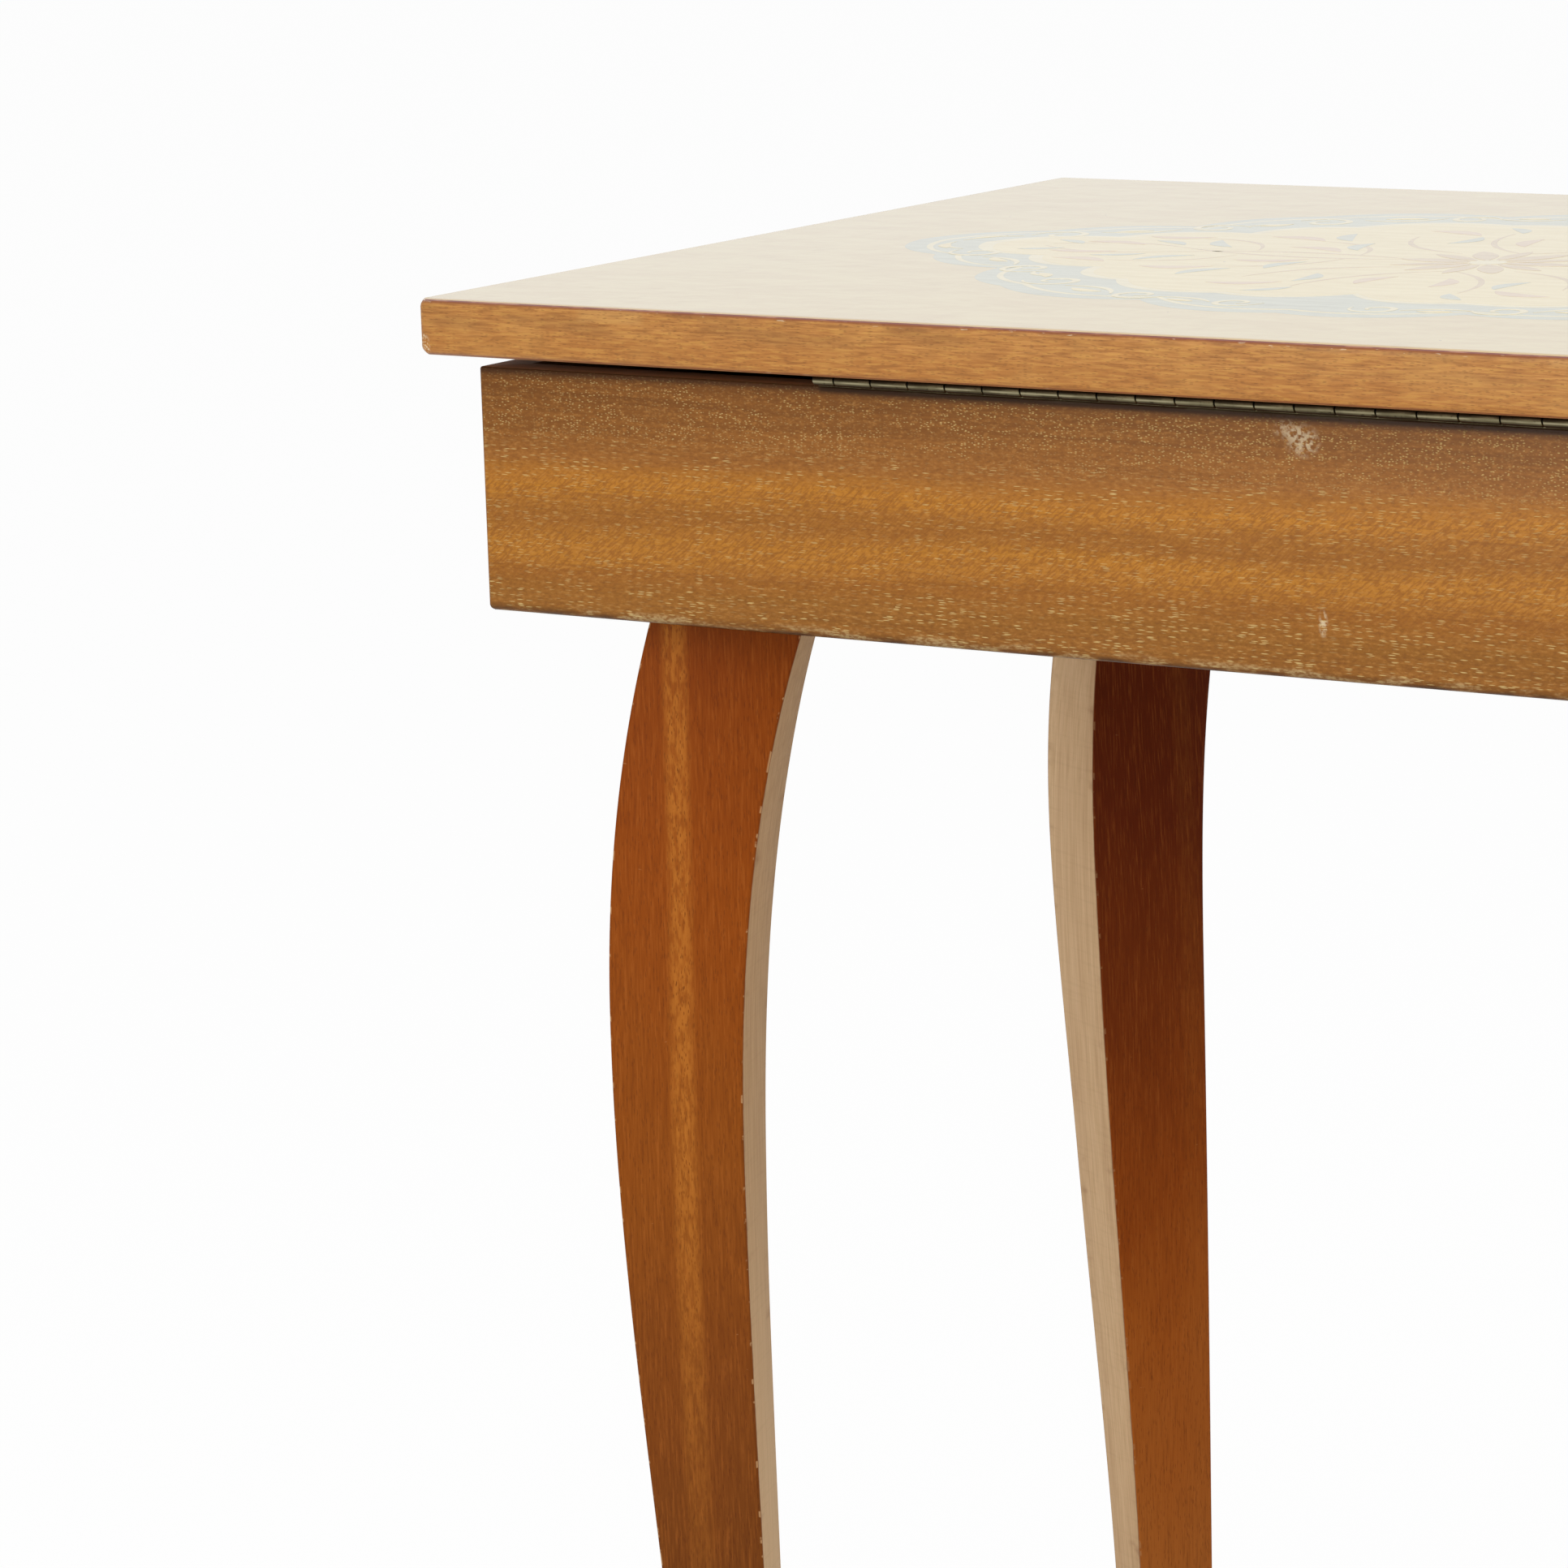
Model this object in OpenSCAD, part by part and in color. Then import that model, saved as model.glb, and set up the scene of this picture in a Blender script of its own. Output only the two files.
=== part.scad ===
// Occasional table with a hinged, lined box and a 36-note cylinder music movement inside it.
// Millimetres, +Z up, origin on the floor under the middle of the lid, hinge side towards +Y.

/* [Lid] */
// Width of the lid along the hinge side
lid_w = 458; // [400:1:560]
// Depth of the lid from front to back
lid_d = 320; // [290:1:380]
// Whole thickness of the lid
lid_t = 15; // [12:0.5:20]
// How far the lid stands out past the box all round
overhang = 11; // [8:0.5:16]
// Radius of the lid's upright corners
lid_corner_r = 2.5; // [1:0.5:6]
// Width of the solid lipping round the lid
lipping_w = 4; // [3:0.5:8]
// Thickness of the marquetry sheet on top
marquetry_t = 0.7; // [0.5:0.1:1]
// Thickness of the backing veneer underneath
backing_t = 0.6; // [0.5:0.1:1]
// Gap between the lid and the box when closed
lid_gap = 3.9; // [3.6:0.1:5]
// Diameter of the two lid buffers
buffer_d = 10; // [6:1:14]

/* [Box] */
// Height of the box boards
box_h = 64.5; // [60:0.5:90]
// Thickness of the box boards
board_t = 10; // [8:0.5:14]
// Thickness of the bottom panel
panel_t = 9; // [8:0.5:12]
// Height of the panel's underside above the boards' lower edge
panel_recess = 3; // [2.5:0.5:5]
// Depth of the groove that holds the panel
groove_d = 4; // [3:0.5:5]
// Thickness of the dividers
divider_t = 5; // [4:0.5:8]
// How far the dividers stop below the top of the box
divider_drop = 6; // [4:0.5:12]
// Width of the bay for the movement
bay_w = 136; // [130:1:150]
// Depth of the bay for the movement
bay_d = 107; // [100:1:120]
// Thickness of the felt on the floor
felt_t = 1; // [0.8:0.1:2]
// Thickness of the clear pane over the bay
pane_t = 3; // [2:0.5:4]
// Side of the square ledge strips under the pane
ledge = 6; // [4:0.5:8]

/* [Hinge] */
// Length of the continuous hinge
hinge_len = 222; // [150:1:300]
// Pitch of the hinge knuckles
knuckle_pitch = 11; // [8:0.5:16]
// Gap between neighbouring knuckles
knuckle_gap = 0.3; // [0.3:0.05:0.5]
// Outer diameter of the knuckles
knuckle_d = 3.2; // [3:0.1:3.5]
// Diameter of the hinge pin
hinge_pin_d = 1.5; // [1.2:0.1:1.8]
// Width of each leaf across the board
leaf_w = 9; // [8:0.5:10]
// Thickness of each leaf
leaf_t = 0.9; // [0.7:0.1:1]
// How far the pin's centre stands out from the box
pin_out = 1.6; // [1.6:0.1:2.5]

/* [Legs] */
// Length of a leg
leg_len = 372; // [320:1:450]
// Thickness of the board a leg is sawn from
leg_t = 25; // [20:0.5:30]
// Bolt centre in from the box's ends
bolt_in_x = 54.5; // [45:0.5:70]
// Bolt centre in from the box's front and back
bolt_in_y = 37; // [34:0.5:50]
// Turn of the back leg at the +X end
turn_back_a = 20; // [-180:1:180]
// Turn of the front leg at the +X end
turn_front_a = 62; // [-180:1:180]
// Turn of the back leg at the -X end
turn_back_b = 140; // [-180:1:180]
// Turn of the front leg at the -X end
turn_front_b = -135; // [-180:1:180]
// Side of the square steel leg plates
plate_w = 48; // [40:1:56]
// Thickness of the leg plates
plate_t = 2.5; // [2:0.1:2.5]
// Diameter of the hanger bolts
bolt_d = 8; // [6:1:10]

/* [Movement] */
// Length of the bedplate
bed_l = 112; // [110:1:118]
// Width of the bedplate
bed_w = 60; // [60:1:66]
// Thickness of the bedplate
bed_t = 3.2; // [2.5:0.1:4]
// Outer diameter of the spring barrel
barrel_d = 37; // [36:0.5:38]
// Height of the spring barrel
barrel_h = 13; // [11:0.5:15]
// Outer diameter of the cylinder
cylinder_d = 18; // [16:0.5:19]
// Length of the cylinder
cylinder_l = 50; // [48:1:51]
// Length of the pins that stand out of the cylinder
pin_h = 0.9; // [0.6:0.1:1.2]
// Number of teeth in the comb
comb_teeth = 36; // [18:1:36]
// Thickness of the comb
comb_t = 1.6; // [1.2:0.1:2]
// Radius of the governor's fly
fly_r = 6; // [4:0.5:6.5]
// Width of the winding key's wings
key_w = 28; // [20:1:32]
// Travel of the stop rod
stop_travel = 6; // [4:0.5:8]

/* [Hidden] */
$fn = 48;
eps = 0.01;
fit = 0.05;       // radial running clearance of a shaft
clear = 0.3;      // clearance between parts that pass each other

box_w = lid_w - 2 * overhang;
box_d = lid_d - 2 * overhang;
box_z = leg_len + plate_t - panel_recess;
box_top = box_z + box_h;
panel_z = box_z + panel_recess;
floor_z = panel_z + panel_t;
lid_z = box_top + lid_gap;
in_w = box_w - 2 * board_t;
in_d = box_d - 2 * board_t;
divider_top = box_top - divider_drop;
bay_x0 = in_w / 2 - bay_w;
bay_y1 = -in_d / 2 + bay_d;
pane_z = divider_top - pane_t;

module at_corners(x, y) {
    for (i = [-1, 1])
        for (j = [-1, 1])
            translate([i * x, j * y, 0])
                children();
}

// A countersunk or cheese-head screw along -Z, its head's top at z = 0
module screw(d, head_d, head_t, len) {
    translate([0, 0, -head_t])
        cylinder(d1 = d, d2 = head_d, h = head_t);
    translate([0, 0, -len])
        cylinder(d = d, h = len - head_t + eps);
}

module pan_screw(d, head_d, head_t, len) {
    cylinder(d = head_d, h = head_t);
    translate([0, 0, -len])
        cylinder(d = d, h = len + eps);
}

// ---------- Lid ----------
core_z = lid_z + backing_t;
core_h = lid_t - marquetry_t - backing_t;
core_w = lid_w - 2 * lipping_w;
core_d = lid_d - 2 * lipping_w;

module lid_outline() {
    r = lid_corner_r;
    union() {
        square([lid_w - 2 * r, lid_d], center = true);
        square([lid_w, lid_d - 2 * r], center = true);
        for (i = [-1, 1])
            for (j = [-1, 1])
                translate([i * (lid_w / 2 - r), j * (lid_d / 2 - r)])
                    circle(r = r);
    }
}

module lid_core() {
    color("burlywood")
        difference() {
            translate([-core_w / 2, -core_d / 2, core_z])
                cube([core_w, core_d, core_h]);
            upper_pilots();
        }
}

// One lipping strip, mitred at both ends; span is the side's length and half the distance out
module lipping(span, half) {
    translate([0, 0, core_z])
        linear_extrude(core_h)
            intersection() {
                rotate(span == lid_w ? 0 : 90)
                    lid_outline();
                polygon([[-span / 2, -half], [span / 2, -half],
                    [span / 2 - lipping_w, -half + lipping_w], [-span / 2 + lipping_w, -half + lipping_w]]);
            }
}

module lid_lipping_front() {
    color("peru")
        lipping(lid_w, lid_d / 2);
}

module lid_lipping_back() {
    color("peru")
        rotate([0, 0, 180])
            lipping(lid_w, lid_d / 2);
}

module lid_lipping_left() {
    color("peru")
        rotate([0, 0, -90])
            lipping(lid_d, lid_w / 2);
}

module lid_lipping_right() {
    color("peru")
        rotate([0, 0, 90])
            lipping(lid_d, lid_w / 2);
}

module lid_marquetry() {
    color("wheat")
        translate([0, 0, core_z + core_h])
            linear_extrude(marquetry_t)
                lid_outline();
}

module lid_backing() {
    color("sienna")
        difference() {
            translate([0, 0, lid_z])
                linear_extrude(backing_t)
                    lid_outline();
            upper_pilots();
        }
}

buffer_in = 30;

module lid_buffers() {
    color("dimgray")
        for (i = [-1, 1])
            translate([i * (box_w / 2 - buffer_in), -box_d / 2 + board_t / 2, box_top + clear])
                cylinder(d = min(buffer_d, board_t - 1), h = lid_gap - clear);
}

// ---------- Box ----------
// A mitred board of the box with the groove for the bottom panel; len is its outer length
module box_board(len, half) {
    difference() {
        translate([0, 0, box_z])
            linear_extrude(box_h)
                polygon([[-len / 2, -half], [len / 2, -half],
                    [len / 2 - board_t, -half + board_t], [-len / 2 + board_t, -half + board_t]]);
        translate([-len / 2, -half + board_t - groove_d, panel_z])
            cube([len, groove_d + eps, panel_t]);
    }
}

module front_board() {
    color("chocolate")
        box_board(box_w, box_d / 2);
}

module back_board() {
    color("chocolate")
        difference() {
            rotate([0, 0, 180])
                box_board(box_w, box_d / 2);
            lower_pilots();
        }
}

module left_board() {
    color("chocolate")
        rotate([0, 0, -90])
            box_board(box_d, box_w / 2);
}

module right_board() {
    color("chocolate")
        rotate([0, 0, 90])
            box_board(box_d, box_w / 2);
}

leg_x = box_w / 2 - bolt_in_x;
leg_y = box_d / 2 - bolt_in_y;
boss_d = bolt_d + 5;

module bottom_panel() {
    color("tan")
        difference() {
            translate([-in_w / 2 - groove_d, -in_d / 2 - groove_d, panel_z])
                cube([in_w + 2 * groove_d, in_d + 2 * groove_d, panel_t]);
            at_corners(leg_x, leg_y)
                translate([0, 0, panel_z - eps])
                    cylinder(d = boss_d + 2 * clear, h = panel_t + 2 * eps);
            at_corners(leg_x, leg_y)
                at_corners(plate_hole, plate_hole)
                    translate([0, 0, panel_z - eps])
                        cylinder(d = plate_screw_d + 2 * fit, h = plate_screw_l);
            translate([key_x, key_y, panel_z - eps])
                cylinder(d = stem_d + 2, h = panel_t + 2 * eps);
            for (p = bed_holes)
                translate([move_x + p[0], move_y + p[1], panel_z - eps])
                    cylinder(d = bed_screw_d + 2 * fit, h = panel_t + 2 * eps);
        }
}

module cross_divider() {
    color("saddlebrown")
        translate([bay_x0 - divider_t, -in_d / 2, floor_z])
            cube([divider_t, in_d, divider_top - floor_z]);
}

module bay_divider() {
    color("saddlebrown")
        translate([bay_x0, bay_y1, floor_z])
            cube([bay_w, divider_t, divider_top - floor_z]);
}

module main_felt() {
    color("darkgreen")
        translate([-in_w / 2, -in_d / 2, floor_z])
            cube([in_w - bay_w - divider_t, in_d, felt_t]);
}

module small_felt() {
    color("darkgreen")
        translate([bay_x0, bay_y1 + divider_t, floor_z])
            cube([bay_w, in_d - bay_d - divider_t, felt_t]);
}

module pane_ledges() {
    color("saddlebrown")
        for (x = [bay_x0, in_w / 2 - ledge])
            translate([x, -in_d / 2, pane_z - ledge])
                cube([ledge, bay_d, ledge]);
}

module clear_pane() {
    color("lightcyan", 0.4)
        difference() {
            translate([bay_x0 + clear, -in_d / 2 + clear, pane_z])
                cube([bay_w - 2 * clear, bay_d - 2 * clear, pane_t]);
            translate([move_x + stop_x, move_y + stop_y, pane_z - eps])
                cylinder(d = stop_d + 3, h = pane_t + 2 * eps);
        }
}

// ---------- Hinge ----------
pin_y = box_d / 2 + pin_out;
pin_z = box_top + lid_gap / 2;
whole_knuckles = floor(hinge_len / knuckle_pitch) - 1;
end_knuckle = (hinge_len - whole_knuckles * knuckle_pitch) / 2;
screw_step = 50;
hinge_screws = floor((hinge_len - 20) / screw_step);

// Start of knuckle k along a hinge cut from stock, so that its two end knuckles are cut short
function knuckle_x(k) =
    -hinge_len / 2
    + (k == 0 ? 0 : k > whole_knuckles + 1 ? hinge_len : end_knuckle + (k - 1) * knuckle_pitch);

// A leaf lying on its board at z = 0, its knuckles on the pin's line; first is 0 or 1
module hinge_leaf(first) {
    difference() {
        union() {
            translate([-hinge_len / 2, -pin_out - leaf_w, 0])
                cube([hinge_len, leaf_w, leaf_t]);
            for (k = [first : 2 : whole_knuckles + 1]) {
                l = knuckle_x(k + 1) - knuckle_x(k) - knuckle_gap;
                translate([knuckle_x(k) + knuckle_gap / 2, 0, 0]) {
                    translate([0, -pin_out - eps, lid_gap / 2 - knuckle_d / 2])
                        cube([l, pin_out + eps, leaf_t]);
                    translate([0, 0, lid_gap / 2])
                        rotate([0, 90, 0])
                            cylinder(d = knuckle_d, h = l);
                }
            }
        }
        translate([-hinge_len / 2 - 1, 0, lid_gap / 2])
            rotate([0, 90, 0])
                cylinder(d = hinge_pin_d + 2 * fit, h = hinge_len + 2);
        for (k = [0 : hinge_screws])
            translate([(k - hinge_screws / 2) * screw_step, -pin_out - leaf_w / 2, leaf_t + eps])
                screw(2.1, 4.1, leaf_t, 3);
    }
}

module hinge_leaf_lower() {
    color("darkgoldenrod")
        translate([0, pin_y, box_top])
            hinge_leaf(0);
}

module hinge_leaf_upper() {
    color("darkgoldenrod")
        translate([0, pin_y, lid_z])
            mirror([0, 0, 1])
                hinge_leaf(1);
}

module hinge_pin() {
    color("goldenrod")
        translate([-hinge_len / 2, pin_y, pin_z])
            rotate([0, 90, 0])
                cylinder(d = hinge_pin_d, h = hinge_len);
}

// The hinge's wood screws, heads flush with a leaf at z = leaf_t, pointing down
hinge_screw_d = 2;
hinge_screw_l = 10;

module hinge_screw_row(extra) {
    for (k = [0 : hinge_screws])
        translate([(k - hinge_screws / 2) * screw_step, pin_y - pin_out - leaf_w / 2, leaf_t])
            screw(hinge_screw_d + 2 * extra, 4 + 2 * extra, leaf_t, hinge_screw_l + extra);
}

// Pilot holes for the hinge's screws, in the back board and in the lid
module lower_pilots() {
    translate([0, 0, box_top])
        hinge_screw_row(fit);
}

module upper_pilots() {
    translate([0, 0, lid_z])
        mirror([0, 0, 1])
            hinge_screw_row(fit);
}

module hinge_screws_lower() {
    color("gold")
        translate([0, 0, box_top])
            hinge_screw_row(0);
}

module hinge_screws_upper() {
    color("gold")
        translate([0, 0, lid_z])
            mirror([0, 0, 1])
                hinge_screw_row(0);
}

// ---------- Legs ----------
top_w = 42.5;
knee_drop = 108;
knee_out = 36;
hollow_drop = 150;
hollow_out = -0.1;
ankle_up = 37;
ankle_out = 23;
ankle_w = 25;
foot_out = 24.5;
foot_w = 24.5;
face_drop = 150;
swell_drop = 50;
waist_drop = 200;

// Height drop, distance out and slope at the ends of each curve of the sawn outline
outer_keys = [[0, top_w / 2, 0.3], [knee_drop, knee_out, 0], [leg_len - ankle_up, ankle_out, -0.05],
    [leg_len, foot_out, 0.1]];
inner_keys = [[0, -top_w / 2, 0.36], [hollow_drop, hollow_out, 0],
    [leg_len - ankle_up, ankle_out - ankle_w, -0.01], [leg_len, foot_out - foot_w, 0.1]];

// The same for the two broad faces, across the thickness of the leg
face_keys = [[0, 0.27 * leg_t, 0.03], [face_drop, 0.55 * leg_t, 0], [leg_len, 0.32 * leg_t, -0.02]];
back_keys = [[0, -0.52 * leg_t, -0.1], [swell_drop, -0.66 * leg_t, 0], [waist_drop, -0.33 * leg_t, 0.01],
    [leg_len, -0.26 * leg_t, 0]];
curve_steps = 10;

function hermite(a, b, t) =
    let (h = b[0] - a[0])
    [a[0] + t * h,
     a[1] * (2 * pow(t, 3) - 3 * t * t + 1) + a[2] * h * (pow(t, 3) - 2 * t * t + t)
     + b[1] * (3 * t * t - 2 * pow(t, 3)) + b[2] * h * (pow(t, 3) - t * t)];

function curve(keys) = [
    for (k = [0 : len(keys) - 2])
        for (i = [0 : curve_steps - (k == len(keys) - 2 ? 0 : 1)])
            hermite(keys[k], keys[k + 1], i / curve_steps)];

function reversed(v) = [for (i = [len(v) - 1 : -1 : 0]) v[i]];

function outline(keys, far_keys) = concat([for (p = curve(keys)) [p[1], leg_len - p[0]]],
    [for (p = reversed(curve(far_keys))) [p[1], leg_len - p[0]]]);

module leg(x, y, turn) {
    color("brown")
        translate([x, y, 0])
            rotate([0, 0, turn])
                difference() {
                    intersection() {
                        rotate([90, 0, 0])
                            linear_extrude(2 * leg_t, center = true)
                                polygon(outline(outer_keys, inner_keys));
                        rotate([90, 0, 90])
                            linear_extrude(2 * (top_w + knee_out), center = true)
                                polygon(outline(face_keys, back_keys));
                    }
                    translate([0, 0, leg_len - bolt_in])
                        cylinder(d = bolt_d + 2 * fit, h = bolt_in + 1);
                }
}

module leg_back_a() {
    leg(leg_x, leg_y, turn_back_a);
}

module leg_front_a() {
    leg(leg_x, -leg_y, turn_front_a);
}

module leg_back_b() {
    leg(-leg_x, leg_y, turn_back_b);
}

module leg_front_b() {
    leg(-leg_x, -leg_y, turn_front_b);
}

bolt_in = 40;
boss_h = panel_t - 1.5;
plate_hole = plate_w / 2 - 5.5;
plate_screw_d = 3.5;
plate_screw_l = plate_t + panel_t - 2;
plate_corner_r = 4;

module leg_plate_outline() {
    union() {
        square([plate_w - 2 * plate_corner_r, plate_w], center = true);
        square([plate_w, plate_w - 2 * plate_corner_r], center = true);
        at_corners(plate_w / 2 - plate_corner_r, plate_w / 2 - plate_corner_r)
            circle(r = plate_corner_r);
    }
}

module leg_plates() {
    color("silver")
        at_corners(leg_x, leg_y)
            translate([0, 0, leg_len])
                difference() {
                    union() {
                        linear_extrude(plate_t)
                            leg_plate_outline();
                        cylinder(d = boss_d, h = plate_t + boss_h);
                    }
                    translate([0, 0, -eps])
                        cylinder(d = bolt_d + 2 * fit, h = plate_t + boss_h + 2 * eps);
                    at_corners(plate_hole, plate_hole)
                        rotate([180, 0, 0])
                            translate([0, 0, eps])
                                screw(plate_screw_d + 2 * fit, 7.2, 2, plate_screw_l);
                }
}

module leg_bolts() {
    color("gray")
        at_corners(leg_x, leg_y)
            translate([0, 0, leg_len - bolt_in])
                cylinder(d = bolt_d, h = bolt_in + plate_t + boss_h);
}

module leg_plate_screws() {
    color("gainsboro")
        at_corners(leg_x, leg_y)
            at_corners(plate_hole, plate_hole)
                translate([0, 0, leg_len])
                    rotate([180, 0, 0])
                        screw(plate_screw_d, 7, 2, plate_screw_l);
}

// ---------- Movement: places, in its own frame with z = 0 under the bedplate ----------
move_x = bay_x0 + bay_w / 2;
move_y = -in_d / 2 + bay_d / 2;
module in_movement() {
    translate([move_x, move_y, floor_z])
        children();
}

bed_screw_d = 3.5;
bed_holes = [[bed_l / 2 - 5, -bed_w / 2 + 5], [-bed_l / 2 + 5, -bed_w / 2 + 5], [0, bed_w / 2 - 4]];

crown_teeth = 48;
pinion_teeth = 9;
crown_r = 16.5;
crown_m = 2 * crown_r / crown_teeth;
pinion_r = crown_m * pinion_teeth / 2;
addendum = 0.8;      // tooth above the pitch line, in modules
dedendum = 1.0;      // tooth below the pitch line, in modules

barrel_x = -34;
barrel_y = 4;
barrel_z = bed_t + 1.8;
crown_z = barrel_z + barrel_h;
axis_y = barrel_y;
axis_z = crown_z + dedendum * crown_m + pinion_r;
pinion_x = barrel_x + crown_r;
pinion_face = 2.4;
arbor_d = 3;
sleeve_x = pinion_x + 6.5;
sleeve_t = 0.8;
cap_t = 1.5;

wheel_m = 0.4;
wheel_teeth = 50;
second_teeth = 10;
wheel_x = sleeve_x + cylinder_l + 2;
wheel_t = 1.6;
wheel_r = wheel_m * wheel_teeth / 2;
second_r = wheel_m * second_teeth / 2;
second_angle = 23.6;
second_y = axis_y + (wheel_r + second_r) * cos(second_angle);
second_z = axis_z + (wheel_r + second_r) * sin(second_angle);
second_d = 1.6;

worm_m = 0.5;
worm_teeth = 24;
worm_r = 1.5;
worm_wheel_r = worm_m * worm_teeth / 2;
frame_t = 1.6;
frame_x = wheel_x + wheel_t + 2;
worm_x = frame_x + 5.4;
frame_end = worm_x + 5.2;
worm_y = second_y + worm_wheel_r + addendum * worm_m + clear + worm_r;
worm_z = second_z - 4.5;
worm_h = 9;
spindle_d = 1.2;
bridge_z = second_z + worm_wheel_r + 1.6;
fly_z = bed_t + 4;
fly_h = 9;

stem_d = 5;
key_x = move_x + barrel_x;
key_y = move_y + barrel_y;
washer_t = 1;
washer_d = 16;
hub_d = 9;
hub_h = 14;
key_top = panel_z - washer_t - clear;

stop_d = 2;
stop_x = wheel_x - 1;
stop_y = bed_w / 2 - 3;
finger_z = fly_z + fly_h - 2.5;
finger_d = 1;

// A spur wheel's outline with straight-sided teeth and free backlash, one tooth on the +X axis
module gear_outline(n, m) {
    p = 360 / n;
    tip = m * n / 2 + addendum * m;
    root = m * n / 2 - dedendum * m;
    polygon([for (k = [0 : n - 1])
        for (q = [[root, -0.26], [tip, -0.11], [tip, 0.11], [root, 0.26]])
            q[0] * [cos((k + q[1]) * p), sin((k + q[1]) * p)]]);
}

// Turns a profile drawn in XY so that it lies across the X axis, with its +X axis pointing up
module across_x(x, y, z) {
    translate([x, y, z])
        rotate([0, -90, 0])
            mirror([0, 0, 1])
                children();
}

// ---------- Movement: bedplate and spring ----------
module bedplate() {
    color("darkgray")
        in_movement()
            difference() {
                linear_extrude(bed_t)
                    union() {
                        square([bed_l - 6, bed_w], center = true);
                        square([bed_l, bed_w - 6], center = true);
                        at_corners(bed_l / 2 - 3, bed_w / 2 - 3)
                            circle(r = 3);
                    }
                translate([barrel_x, barrel_y, -eps])
                    cylinder(d = stem_d + 2 * fit, h = bed_t + 2 * eps);
                for (p = bed_holes)
                    translate([p[0], p[1], -eps])
                        cylinder(d = bed_screw_d + 2 * fit, h = bed_t + 2 * eps);
                translate([worm_x, worm_y, bed_t - 1.5])
                    cylinder(d = spindle_d + 2 * fit, h = 2);
                for (p = frame_holes)
                    translate([p[0], p[1], bed_t - small_screw_in])
                        cylinder(d = small_screw_d + 2 * fit, h = small_screw_in + eps);
            }
}

module bed_screws() {
    color("gainsboro")
        for (p = bed_holes)
            translate([move_x + p[0], move_y + p[1], panel_z])
                rotate([180, 0, 0])
                    pan_screw(bed_screw_d, 6, 2, panel_t + bed_t);
}

module spring_barrel() {
    tooth_h = (addendum + dedendum) * crown_m;
    pitch_w = 2 * PI * crown_r / crown_teeth;
    color("goldenrod")
        in_movement()
            translate([barrel_x, barrel_y, barrel_z])
                difference() {
                    union() {
                        cylinder(d = barrel_d, h = barrel_h);
                        for (k = [0 : crown_teeth - 1])
                            rotate([0, 0, (k + 0.5) * 360 / crown_teeth])
                                translate([crown_r - 1.6, 0, barrel_h - eps])
                                    rotate([90, 0, 90])
                                        linear_extrude(3.2)
                                            polygon([[-0.26 * pitch_w, 0], [0.26 * pitch_w, 0],
                                                [0.11 * pitch_w, tooth_h], [-0.11 * pitch_w, tooth_h]]);
                    }
                    translate([0, 0, -eps])
                        cylinder(d = barrel_d - 2.4, h = barrel_h - 1.5);
                    cylinder(d = stem_d + 2 * fit, h = barrel_h + 1);
                }
}

module barrel_cap() {
    color("gold")
        in_movement()
            translate([barrel_x, barrel_y, barrel_z])
                difference() {
                    cylinder(d = barrel_d - 2.4 - 2 * fit, h = 1.2);
                    translate([0, 0, -eps])
                        cylinder(d = stem_d + 2 * fit, h = 1.2 + 2 * eps);
                }
}

// A flat spiral of steel strip, wound from the arbor out to the barrel's wall
spring_turns = 7;
spring_t = 0.4;
spring_steps = 30;

module mainspring() {
    r0 = stem_d / 2 + 1.2;
    r1 = barrel_d / 2 - 1.2 - 0.15 - spring_t;
    n = spring_turns * spring_steps;
    function at(i, side) = (r0 + (r1 - r0) * i / n + side * spring_t)
        * [cos(i * 360 / spring_steps), sin(i * 360 / spring_steps)];
    color("steelblue")
        in_movement()
            translate([barrel_x, barrel_y, barrel_z + 1.5])
                linear_extrude(barrel_h - 3.5)
                    polygon(concat([for (i = [0 : n]) at(i, 0)], [for (i = [n : -1 : 0]) at(i, 1)]));
}

module winding_arbor() {
    low = key_top - 10 - floor_z;
    color("slategray")
        in_movement()
            translate([barrel_x, barrel_y, low])
                cylinder(d = stem_d, h = crown_z + 1 - low);
}

clutch_l = 14;
clutch_t = 1.2;

module clutch_spring() {
    color("steelblue")
        in_movement()
            translate([barrel_x, barrel_y, bed_t])
                difference() {
                    union() {
                        cylinder(d = stem_d + 3, h = clutch_t);
                        translate([stem_d / 2, -stem_d / 2 - 1.4, 0])
                            cube([clutch_l, 0.8, clutch_t]);
                    }
                    translate([0, 0, -eps])
                        cylinder(d = stem_d + 2 * fit, h = clutch_t + 2 * eps);
                }
}

module winding_key() {
    lobe = key_w / 4;
    color("darkgoldenrod")
        translate([key_x, key_y, key_top - hub_h]) {
            difference() {
                union() {
                    cylinder(d = hub_d, h = hub_h);
                    translate([0, 0, -lobe])
                        rotate([90, 0, 0])
                            linear_extrude(2.2, center = true)
                                difference() {
                                    union() {
                                        for (i = [-1, 1])
                                            translate([i * lobe, 0])
                                                circle(r = lobe);
                                        square([hub_d, 2 * lobe + 2 * eps], center = true);
                                    }
                                    for (i = [-1, 1])
                                        translate([i * lobe * 1.1, 0])
                                            circle(r = lobe * 0.45);
                                }
                }
                translate([0, 0, hub_h - 11])
                    cylinder(d = stem_d + 2 * fit, h = 12);
            }
        }
}

module key_washer() {
    color("gold")
        translate([key_x, key_y, panel_z - washer_t])
            difference() {
                cylinder(d = washer_d, h = washer_t);
                translate([0, 0, -eps])
                    cylinder(d = stem_d + 2 * fit, h = washer_t + 2 * eps);
            }
}

// ---------- Movement: cylinder ----------
module cylinder_sleeve() {
    color("gold")
        in_movement()
            across_x(sleeve_x, axis_y, axis_z)
                difference() {
                    cylinder(d = cylinder_d, h = cylinder_l);
                    translate([0, 0, -eps])
                        cylinder(d = cylinder_d - 2 * sleeve_t, h = cylinder_l + 2 * eps);
                }
}

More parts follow.
